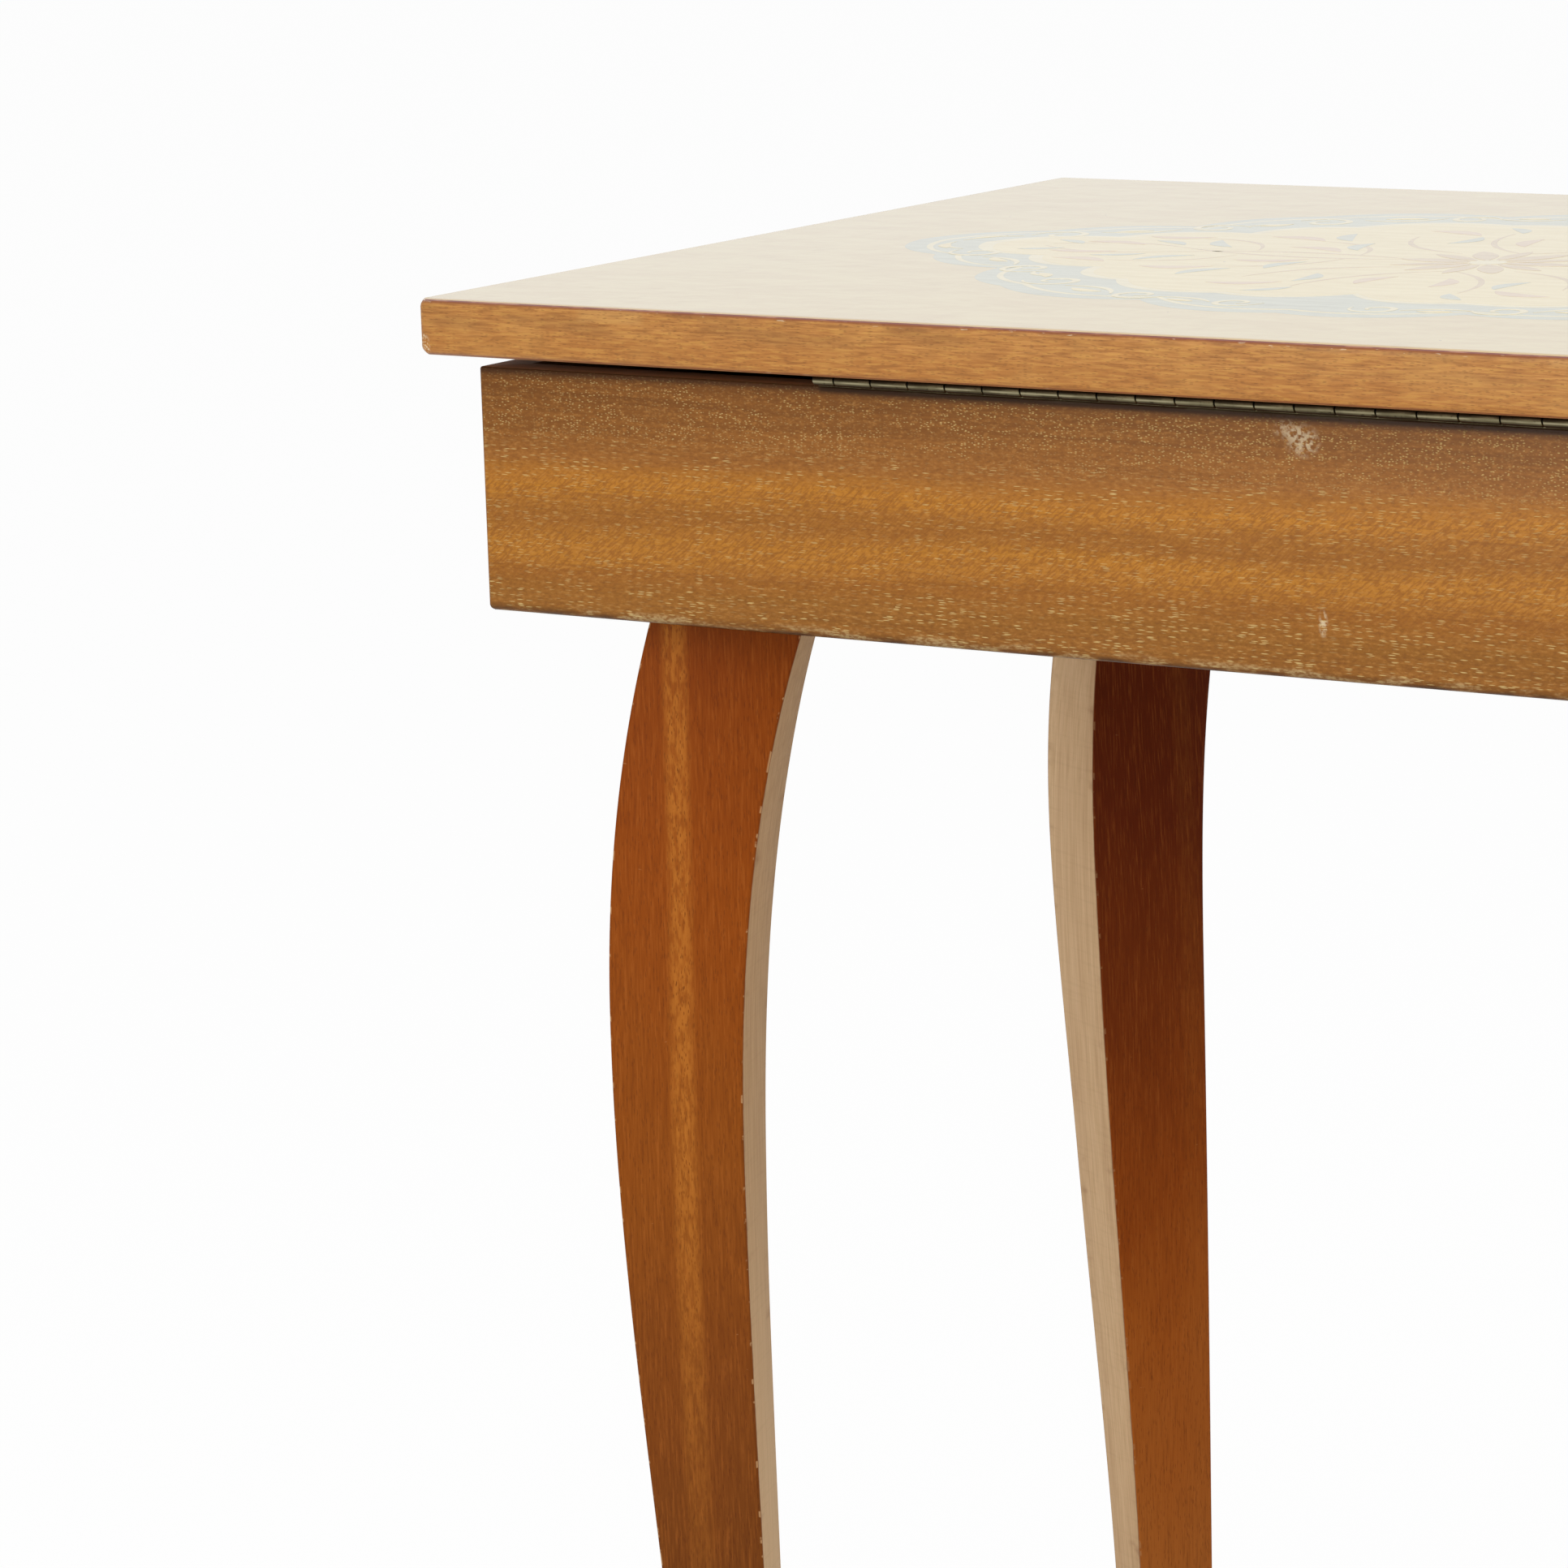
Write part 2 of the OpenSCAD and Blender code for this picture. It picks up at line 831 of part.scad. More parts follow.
module cylinder_caps() {
    color("goldenrod")
        in_movement()
            for (x = [sleeve_x, sleeve_x + cylinder_l - cap_t])
                across_x(x, axis_y, axis_z)
                    difference() {
                        cylinder(d = cylinder_d - 2 * sleeve_t, h = cap_t);
                        translate([0, 0, -eps])
                            cylinder(d = arbor_d, h = cap_t + 2 * eps);
                    }
}

module cylinder_arbor() {
    x0 = pinion_x - pinion_face / 2 - 0.8;
    color("silver")
        in_movement()
            across_x(x0, axis_y, axis_z)
                cylinder(d = arbor_d, h = frame_x + frame_t + 1 - x0);
}

module cylinder_pinion() {
    color("silver")
        in_movement()
            across_x(pinion_x - pinion_face / 2, axis_y, axis_z)
                difference() {
                    rotate([0, 0, 180])
                        linear_extrude(pinion_face)
                            gear_outline(pinion_teeth, crown_m);
                    translate([0, 0, -eps])
                        cylinder(d = arbor_d, h = pinion_face + 2 * eps);
                }
}

module cylinder_wheel() {
    color("gold")
        in_movement()
            across_x(wheel_x, axis_y, axis_z)
                difference() {
                    rotate([0, 0, 90 - second_angle])
                        linear_extrude(wheel_t)
                            gear_outline(wheel_teeth, wheel_m);
                    translate([0, 0, -eps])
                        cylinder(d = arbor_d, h = wheel_t + 2 * eps);
                    for (k = [0 : 4])
                        rotate([0, 0, k * 72])
                            translate([wheel_r * 0.58, 0, -eps])
                                cylinder(r = wheel_r * 0.22, h = wheel_t + 2 * eps);
                }
}

// Pins in a repeating spread over the 36 tracks, each standing on the sleeve
tooth_pitch = (cylinder_l - 2) / comb_teeth;
pins_a_track = 5;
pin_d = 0.45;
pin_sink = 0.3;

module cylinder_pins() {
    color("white")
        in_movement()
            for (i = [0 : comb_teeth - 1])
                for (k = [0 : pins_a_track - 1])
                    across_x(sleeve_x + 1 + (i + 0.5) * tooth_pitch, axis_y, axis_z)
                        rotate([0, 0, i * 47 + k * (360 / pins_a_track) + 13 * ((i * k) % 4)])
                            translate([cylinder_d / 2 - pin_sink, 0, 0])
                                rotate([0, 90, 0])
                                    cylinder(d = pin_d, h = pin_h + pin_sink, $fn = 4);
}

small_screw_d = 2;
small_screw_in = 2.4;
foot_l = 9;
bracket_x = sleeve_x - 3.4;
frame_holes = [[bracket_x + 6, axis_y - 4], [bracket_x + 6, axis_y + 4],
    [frame_x + 6, axis_y - 4], [frame_x + 6, axis_y + 4], [stop_x - 2, stop_y - 6]];

module arbor_bracket() {
    color("silver")
        in_movement()
            difference() {
                union() {
                    translate([bracket_x, axis_y - 7, bed_t])
                        cube([foot_l, 14, frame_t]);
                    translate([bracket_x, axis_y - 7, bed_t])
                        cube([frame_t, 14, axis_z + 4 - bed_t]);
                }
                across_x(bracket_x - 1, axis_y, axis_z)
                    cylinder(d = arbor_d + 2 * fit, h = frame_t + 2);
                small_holes(0, 1);
            }
}

// Clearance holes for the screws numbered first to last, through a foot on the bedplate
module small_holes(first, last) {
    for (k = [first : last])
        translate([frame_holes[k][0], frame_holes[k][1], bed_t - 1])
            cylinder(d = small_screw_d + 2 * fit, h = frame_t + 2);
}

module frame_screws() {
    color("gainsboro")
        in_movement()
            for (p = frame_holes)
                translate([p[0], p[1], bed_t + frame_t])
                    pan_screw(small_screw_d, 3.8, 1.3, frame_t + small_screw_in);
}

// ---------- Movement: comb ----------
comb_tip_y = axis_y - cylinder_d / 2 - pin_h - clear;
comb_depth = 23;
long_tooth = 16;
short_tooth = 10;
slot_w = 0.3;
comb_margin = 4;
comb_base_d = 8;
comb_screw_d = 2.5;

module comb() {
    x0 = sleeve_x + 1;
    color("lightsteelblue")
        in_movement()
            difference() {
                translate([x0 - comb_margin, comb_tip_y - comb_depth, axis_z - comb_t / 2])
                    cube([cylinder_l - 2 + 2 * comb_margin, comb_depth, comb_t]);
                for (x = [x0 - comb_margin - eps, x0 + cylinder_l - 2])
                    translate([x, comb_tip_y - short_tooth, axis_z - comb_t])
                        cube([comb_margin + eps, short_tooth + eps, 2 * comb_t]);
                for (k = [1 : comb_teeth - 1]) {
                    slot = long_tooth - (long_tooth - short_tooth) * k / comb_teeth;
                    translate([x0 + k * tooth_pitch - slot_w / 2, comb_tip_y - slot, axis_z - comb_t])
                        cube([slot_w, slot + eps, 2 * comb_t]);
                }
                for (p = comb_holes)
                    translate([p[0], p[1], axis_z - comb_t])
                        cylinder(d = comb_screw_d + 2 * fit, h = 2 * comb_t);
            }
}

comb_holes = [for (k = [-1 : 1])
    [sleeve_x + cylinder_l / 2 + k * (cylinder_l / 2 - 3), comb_tip_y - comb_depth + comb_base_d / 2 - 0.8]];
comb_screw_in = 8;

module comb_base() {
    color("darkgray")
        in_movement()
            difference() {
                translate([sleeve_x + 1 - comb_margin, comb_tip_y - comb_depth, bed_t])
                    cube([cylinder_l - 2 + 2 * comb_margin, comb_base_d - 1.6, axis_z - comb_t / 2 - bed_t]);
                for (p = comb_holes)
                    translate([p[0], p[1], axis_z - comb_t / 2 - comb_screw_in])
                        cylinder(d = comb_screw_d + 2 * fit, h = comb_screw_in + eps);
            }
}

module comb_screws() {
    color("gainsboro")
        in_movement()
            for (p = comb_holes)
                translate([p[0], p[1], axis_z + comb_t / 2])
                    pan_screw(comb_screw_d, 4.4, 1.6, comb_t + comb_screw_in);
}

// ---------- Movement: governor ----------
module governor_frame() {
    y0 = axis_y - 7;
    y1 = axis_y + 8.5;
    y2 = worm_y + 4;
    mid_z = fly_z + fly_h + 2;
    color("darkgray")
        in_movement()
            difference() {
                union() {
                    translate([frame_x, y0, bed_t])
                        cube([frame_t, y1 - y0, bridge_z + frame_t - bed_t]);
                    translate([frame_x, y0, mid_z])
                        cube([frame_t, y2 - y0, bridge_z + frame_t - mid_z]);
                    translate([frame_x, y0, bed_t])
                        cube([frame_end - frame_x, y1 - y0, frame_t]);
                    translate([frame_x, y1, bridge_z])
                        cube([frame_end - frame_x, y2 - y1, frame_t]);
                    translate([frame_end - frame_t, y1, second_z - 4])
                        cube([frame_t, y2 - y1, bridge_z + frame_t - second_z + 4]);
                }
                across_x(frame_x - 1, axis_y, axis_z)
                    cylinder(d = arbor_d + 2 * fit, h = frame_t + 2);
                across_x(frame_x - 1, second_y, second_z)
                    cylinder(d = second_d + 2 * fit, h = frame_end - frame_x + 2);
                translate([worm_x, worm_y, bridge_z - 1])
                    cylinder(d = spindle_d + 2 * fit, h = frame_t + 2);
                small_holes(2, 3);
            }
}

module second_pinion() {
    color("silver")
        in_movement()
            union() {
                across_x(wheel_x - 0.4, second_y, second_z)
                    rotate([0, 0, 270 - second_angle + 180 / second_teeth])
                        linear_extrude(wheel_t + 0.8)
                            gear_outline(second_teeth, wheel_m);
                across_x(wheel_x - 1.2, second_y, second_z)
                    cylinder(d = second_d, h = frame_end + 0.4 - wheel_x + 1.2);
            }
}

module second_wheel() {
    color("gold")
        in_movement()
            across_x(worm_x - 0.8, second_y, second_z)
                difference() {
                    linear_extrude(1.6)
                        gear_outline(worm_teeth, worm_m);
                    translate([0, 0, -eps])
                        cylinder(d = second_d, h = 1.6 + 2 * eps);
                }
}

module worm() {
    color("silver")
        in_movement()
            translate([worm_x, worm_y, 0])
                union() {
                    translate([0, 0, worm_z])
                        cylinder(r = worm_r, h = worm_h);
                    translate([0, 0, bed_t - 1.2])
                        cylinder(d = spindle_d, h = bridge_z + frame_t - bed_t + 1.4);
                }
}

module fly() {
    color("silver")
        in_movement()
            translate([worm_x, worm_y, fly_z])
                difference() {
                    union() {
                        cylinder(r = 1.5, h = fly_h);
                        translate([-fly_r, -0.3, 0])
                            cube([2 * fly_r, 0.6, fly_h]);
                    }
                    translate([0, 0, -eps])
                        cylinder(d = spindle_d, h = fly_h + 2 * eps);
                }
}

module stop_bracket() {
    x0 = stop_x - 5;
    top = bridge_z - 1;
    color("silver")
        in_movement()
            difference() {
                union() {
                    translate([x0, stop_y - 9, bed_t])
                        cube([8, 12, frame_t]);
                    translate([x0, stop_y - 3, bed_t])
                        cube([frame_t, 6, top - bed_t]);
                    translate([x0, stop_y - 3, top - frame_t])
                        cube([8, 6, frame_t]);
                }
                translate([stop_x, stop_y, bed_t - 1])
                    cylinder(d = stop_d + 2 * fit, h = top - bed_t + 2);
                small_holes(4, 4);
            }
}

module stop_rod() {
    reach = norm([worm_x - stop_x, worm_y - stop_y]) - fly_r - 0.4;
    color("steelblue")
        in_movement()
            translate([stop_x, stop_y, 0])
                union() {
                    translate([0, 0, bed_t + 0.3])
                        cylinder(d = stop_d, h = lid_z - clear - floor_z - bed_t - 0.3);
                    translate([0, 0, finger_z])
                        rotate([0, 90, atan2(worm_y - stop_y, worm_x - stop_x)])
                            cylinder(d = finger_d, h = reach);
                }
}

lid_core();
lid_lipping_front();
lid_lipping_back();
lid_lipping_left();
lid_lipping_right();
lid_marquetry();
lid_backing();
lid_buffers();
front_board();
back_board();
left_board();
right_board();
bottom_panel();
cross_divider();
bay_divider();
main_felt();
small_felt();
pane_ledges();
clear_pane();
hinge_leaf_lower();
hinge_leaf_upper();
hinge_pin();
hinge_screws_lower();
hinge_screws_upper();
leg_back_a();
leg_front_a();
leg_back_b();
leg_front_b();
leg_plates();
leg_bolts();
leg_plate_screws();
bedplate();
bed_screws();
spring_barrel();
barrel_cap();
mainspring();
winding_arbor();
clutch_spring();
winding_key();
key_washer();
cylinder_sleeve();
cylinder_caps();
cylinder_arbor();
cylinder_pinion();
cylinder_wheel();
cylinder_pins();
arbor_bracket();
comb();
comb_base();
comb_screws();
governor_frame();
frame_screws();
second_wheel();
second_pinion();
worm();
fly();
stop_bracket();
stop_rod();
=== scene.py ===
import math
import random

import bmesh
import bpy
from mathutils import Matrix, Vector


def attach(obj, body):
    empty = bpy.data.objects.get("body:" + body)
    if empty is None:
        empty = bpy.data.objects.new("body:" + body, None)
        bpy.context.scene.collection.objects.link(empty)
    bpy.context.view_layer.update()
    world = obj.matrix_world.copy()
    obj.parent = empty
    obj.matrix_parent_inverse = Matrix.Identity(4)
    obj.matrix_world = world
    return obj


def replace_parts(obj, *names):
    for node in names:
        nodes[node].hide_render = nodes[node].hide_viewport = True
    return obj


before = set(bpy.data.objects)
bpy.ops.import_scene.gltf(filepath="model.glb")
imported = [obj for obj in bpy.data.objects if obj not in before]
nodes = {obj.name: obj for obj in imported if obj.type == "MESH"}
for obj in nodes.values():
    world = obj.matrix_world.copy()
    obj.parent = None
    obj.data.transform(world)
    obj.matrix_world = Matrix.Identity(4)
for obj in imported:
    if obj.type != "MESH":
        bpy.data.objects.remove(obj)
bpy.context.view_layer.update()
scene = bpy.context.scene
MM = 0.001


# ---------- Camera ----------
# A long lens looks at the table's back left corner from a little above the lid,
# close enough for the far end of the box and the feet to leave the frame.
camera = bpy.data.objects.new("camera", bpy.data.cameras.new("camera"))
scene.collection.objects.link(camera)
scene.camera = camera
camera.data.sensor_width = 36
camera.data.lens = 139.75
across = Vector((-0.8277, -0.5603, -0.0313))
downward = Vector((-0.0843, 0.1793, -0.9802))
ahead = Vector((0.5548, -0.8086, -0.1956))
stand = (-0.7397, 1.4099, 0.6377)
turned_to = Matrix((across, -downward, -ahead)).transposed().to_4x4()
camera.matrix_world = Matrix.Translation(stand) @ turned_to


# ---------- Studio ----------
# A white floor under a white sky, one broad soft lamp on the camera's left, a weaker one
# on its right and a third overhead. What the eye and the gloss see of it is plain white,
# and from below the floor is clear.
def put(tree, kind, inputs=None, **settings):
    """Adds a node, sets it, and gives its inputs values or other nodes' outputs."""
    node = tree.nodes.new(kind)
    for name, value in settings.items():
        setattr(node, name, value)
    for name, value in (inputs or {}).items():
        if isinstance(value, bpy.types.NodeSocket):
            tree.links.new(value, node.inputs[name])
        else:
            node.inputs[name].default_value = value
    return node


def maths(tree, how, a, b=0.0):
    return put(tree, "ShaderNodeMath", {0: a, 1: b}, operation=how).outputs[0]


def times(tree, a, b):
    return maths(tree, "MULTIPLY", a, b)


def plus(tree, a, b):
    return maths(tree, "ADD", a, b)


def seen_directly(tree):
    """1 for rays from the eye, from gloss and through glass; 0 for the light that falls on things."""
    path = put(tree, "ShaderNodeLightPath")
    seen = maths(tree, "MAXIMUM", path.outputs["Is Camera Ray"], path.outputs["Is Glossy Ray"])
    return maths(tree, "MAXIMUM", seen, path.outputs["Is Transmission Ray"])


scene.view_settings.view_transform = "Standard"
sky = bpy.data.worlds.new("sky")
scene.world = sky
sky.use_nodes = True
sky_light = 0.5
sky_tree = sky.node_tree
background = sky_tree.nodes["Background"]
background.inputs["Color"].default_value = (1, 1, 1, 1)
lift = times(sky_tree, seen_directly(sky_tree), 1 - sky_light)
sky_tree.links.new(plus(sky_tree, lift, sky_light), background.inputs["Strength"])

floor_mesh = bpy.data.meshes.new("floor")
reach = 9
floor_corners = [(-reach, -reach, 0), (reach, -reach, 0), (reach, reach, 0), (-reach, reach, 0)]
floor_mesh.from_pydata(floor_corners, [], [(0, 1, 2, 3)])
floor = bpy.data.objects.new("floor", floor_mesh)
scene.collection.objects.link(floor)
paper = bpy.data.materials.new("white floor")
paper.use_nodes = True
tree = paper.node_tree
tree.nodes.clear()
matt = put(tree, "ShaderNodeBsdfDiffuse", {"Color": (0.9, 0.9, 0.9, 1)})
glow = put(tree, "ShaderNodeEmission", {"Color": (1, 1, 1, 1), "Strength": 1.0})
paper_white = 0.96
share = times(tree, seen_directly(tree), paper_white)
lit = put(tree, "ShaderNodeMixShader", {0: share, 1: matt.outputs[0], 2: glow.outputs[0]})
below = put(tree, "ShaderNodeNewGeometry").outputs["Backfacing"]
clear = put(tree, "ShaderNodeBsdfTransparent")
mixed = put(tree, "ShaderNodeMixShader", {0: below, 1: lit.outputs[0], 2: clear.outputs[0]})
put(tree, "ShaderNodeOutputMaterial", {"Surface": mixed.outputs[0]})
floor_mesh.materials.append(paper)


aim = Vector((0, 0, 0.35))


def lamp(name, place, size, watts):
    light = bpy.data.lights.new(name, "AREA")
    light.shape = "DISK"
    light.size = size
    light.energy = watts
    obj = bpy.data.objects.new(name, light)
    obj.location = place
    obj.rotation_euler = (aim - Vector(place)).to_track_quat("-Z", "Y").to_euler()
    scene.collection.objects.link(obj)


lamp("left lamp", (0.35, 2.0, 1.0), 1.2, 20)
lamp("right lamp", (-1.7, 0.9, 1.0), 1.2, 11)
lamp("top lamp", (-0.2, -0.1, 2.3), 1.4, 11)


# ---------- Box: boards ----------
# Four boards mitred at the corners, their outside faced with quarter-cut ribbon-striped veneer
# whose open pores were limed, rubbed back and lacquered. Shade under the lid's overhang is painted along
# the upper edge.
def loft(bm, rings):
    """Adds one closed shell through rings of points, capped at both ends."""
    loops = [[bm.verts.new(p) for p in ring] for ring in rings]
    bm.faces.new(loops[0][::-1])
    bm.faces.new(loops[-1])
    for low, high in zip(loops, loops[1:]):
        for i in range(len(low)):
            j = (i + 1) % len(low)
            bm.faces.new((low[i], low[j], high[j], high[i]))


CREASE = math.radians(32)


def piece(name, bm, body, finishes, place=None, pick=None):
    """Makes an object of a mesh, smooth but for its creases, riding on a body. pick gives the
    number of a face's finish."""
    bmesh.ops.recalc_face_normals(bm, faces=bm.faces)
    if pick:
        for face in bm.faces:
            face.material_index = pick(face)
    mesh = bpy.data.meshes.new(name)
    bm.to_mesh(mesh)
    bm.free()
    mesh.shade_smooth()
    mesh.set_sharp_from_angle(angle=CREASE)
    for surface in finishes:
        mesh.materials.append(surface)
    obj = bpy.data.objects.new(name, mesh)
    scene.collection.objects.link(obj)
    if place is not None:
        obj.matrix_world = place
    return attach(obj, body)


def side_ring(length, half, outer, inner, corner, z, worn=0.0, steps=4):
    """Outline of a strip mitred at both ends, its outside towards -Y and its corners rounded.
    outer is how far its outside is sanded back, worn the same again at the very corner, and
    inner its depth to the inside face."""
    ring = []
    for side, start in ((-1, -135), (1, -90)):
        cx, cy = side * (length / 2 - corner), -half + corner
        for i in range(steps + 1):
            a = math.radians(start + 45 * i / steps)
            r = corner - outer - worn * abs(math.sin(2 * a))
            ring.append((cx + r * math.cos(a), cy + r * math.sin(a), z))
    ring += [(length / 2 - inner, -half + inner, z), (-length / 2 + inner, -half + inner, z)]
    return ring


def turned(degrees, offset=(0, 0, 0)):
    return Matrix.Rotation(math.radians(degrees), 4, "Z") @ Matrix.Translation(offset)


def tone(colour):
    """A colour written as six hex digits, in linear light."""
    parts = [int(colour[i:i + 2], 16) / 255 for i in (0, 2, 4)]
    return tuple(p / 12.92 if p <= 0.04045 else ((p + 0.055) / 1.055) ** 2.4 for p in parts) + (1,)


def tint(tree, share, under, over, how="MIX"):
    """Lays one colour over another by a share."""
    node = put(tree, "ShaderNodeMix", data_type="RGBA", blend_type=how)
    for index, value in ((0, share), (6, under), (7, over)):
        if isinstance(value, bpy.types.NodeSocket):
            tree.links.new(value, node.inputs[index])
        else:
            node.inputs[index].default_value = tone(value) if isinstance(value, str) else value
    return node.outputs[2]


def ramp(tree, value, stops):
    """Colours by a value; each stop is where it stands and its colour."""
    node = put(tree, "ShaderNodeValToRGB", {0: value})
    elements = node.color_ramp.elements
    while len(elements) < len(stops):
        elements.new(0.5)
    for element, (at, colour) in zip(elements, stops):
        element.position = at
        element.color = tone(colour)
    return node.outputs[0]


def between(tree, value, low, high, out_low=0.0, out_high=1.0):
    """Smooth step of a value from low to high."""
    node = put(tree, "ShaderNodeMapRange", {0: value, 1: low, 2: high, 3: out_low, 4: out_high})
    node.interpolation_type = "SMOOTHSTEP"
    return node.outputs[0]


def group(name, inputs, outputs):
    """Starts a shader group; returns its tree, its input sockets and its output node."""
    tree = bpy.data.node_groups.new(name, "ShaderNodeTree")
    for kind, label, default in inputs:
        socket = tree.interface.new_socket(label, in_out="INPUT", socket_type=kind)
        if default is not None:
            socket.default_value = default
    for kind, label in outputs:
        tree.interface.new_socket(label, in_out="OUTPUT", socket_type=kind)
    return tree, tree.nodes.new("NodeGroupInput").outputs, tree.nodes.new("NodeGroupOutput")


VECTOR, FLOAT = "NodeSocketVector", "NodeSocketFloat"


def stretched(tree, place, size):
    return put(tree, "ShaderNodeVectorMath", {0: place, 1: size}, operation="DIVIDE").outputs[0]


def cell_pattern(tree, place, size, randomness=1.0, **settings):
    """Cells of about a size, set out at random."""
    return put(tree, "ShaderNodeTexVoronoi", {
        "Vector": stretched(tree, place, size), "Scale": 1.0, "Randomness": randomness}, **settings)


def chance(tree, cells):
    """One random number for each cell."""
    return put(tree, "ShaderNodeSeparateColor", {0: cells.outputs["Color"]}).outputs[0]


# Streaks that run along the wood
grain_group, given, made = group(
    "wood grain", [(VECTOR, "Place", None), (VECTOR, "Streak", (0.04, 0.0009, 0.0009))],
    [(FLOAT, "Grain"), (FLOAT, "Mottle")])
fine = put(grain_group, "ShaderNodeTexNoise", {
    "Vector": stretched(grain_group, given["Place"], given["Streak"]), "Scale": 1.0, "Detail": 4.0,
    "Roughness": 0.6})
broad = put(grain_group, "ShaderNodeTexNoise", {
    "Vector": stretched(grain_group, given["Place"], (0.05, 0.012, 0.012)), "Scale": 1.0,
    "Detail": 3.0, "Roughness": 0.55})
grain_group.links.new(fine.outputs[0], made.inputs["Grain"])
grain_group.links.new(broad.outputs[0], made.inputs["Mottle"])

# Open pores: short dashes along the wood, some cells with one and some without
pore_group, given, made = group(
    "open pores", [(VECTOR, "Place", None), (VECTOR, "Dash", (0.002, 0.0006, 0.0006)),
                   (FLOAT, "Amount", 0.5)], [(FLOAT, "Pores")])
pore_cells = cell_pattern(pore_group, given["Place"], given["Dash"])
open_here = maths(pore_group, "LESS_THAN", chance(pore_group, pore_cells), given["Amount"])
dash = between(pore_group, pore_cells.outputs["Distance"], 0.42, 0.22)
pore_group.links.new(times(pore_group, dash, open_here), made.inputs["Pores"])


def use(tree, shared, **values):
    """Places a shader group and returns its outputs."""
    node = put(tree, "ShaderNodeGroup", node_tree=shared)
    for label, value in values.items():
        if isinstance(value, bpy.types.NodeSocket):
            tree.links.new(value, node.inputs[label])
        else:
            node.inputs[label].default_value = value
    return node.outputs


def finish(name, **values):
    """A material with one Principled shader; returns it, its tree, the shader and its own coordinates."""
    made_of = bpy.data.materials.new(name)
    made_of.use_nodes = True
    shader = made_of.node_tree.nodes["Principled BSDF"]
    for label, value in values.items():
        shader.inputs[label.replace("_", " ")].default_value = value
    place = put(made_of.node_tree, "ShaderNodeTexCoord").outputs["Object"]
    return made_of, made_of.node_tree, shader, place


def feed(tree, shader, **sockets):
    """Links colours and values to the shader's inputs of the same names."""
    for label, socket in sockets.items():
        tree.links.new(socket, shader.inputs[label.replace("_", " ")])


def relief(tree, shader, height, strength, distance=0.0002):
    bump = put(tree, "ShaderNodeBump", {"Height": height, "Strength": strength, "Distance": distance})
    tree.links.new(bump.outputs[0], shader.inputs["Normal"])


def noise(tree, place, size, detail=2.0):
    return put(tree, "ShaderNodeTexNoise", {
        "Vector": stretched(tree, place, size), "Scale": 1.0, "Detail": detail}).outputs[0]


def axes_of(tree, vector):
    return put(tree, "ShaderNodeSeparateXYZ", {0: vector}).outputs


def facing(tree, axis):
    """How far the surface faces along one of its piece's own axes."""
    return axes_of(tree, put(tree, "ShaderNodeTexCoord").outputs["Normal"])[axis]


def swing(tree, value, reach):
    """Turns a noise about 0.5 into a push either way."""
    return times(tree, maths(tree, "SUBTRACT", value, 0.5), reach)


BOX_W, BOX_D, BOARD_T, BOX_Z, BOX_H = 436 * MM, 298 * MM, 10 * MM, 371.5 * MM, 64.5 * MM
BOX_CORNER, GROOVE, FACED_DEPTH = 1.2 * MM, 4 * MM, 1.5 * MM

# The hinge's length stands here because a painted shadow darkens the back board under it
HINGE_L = 222 * MM


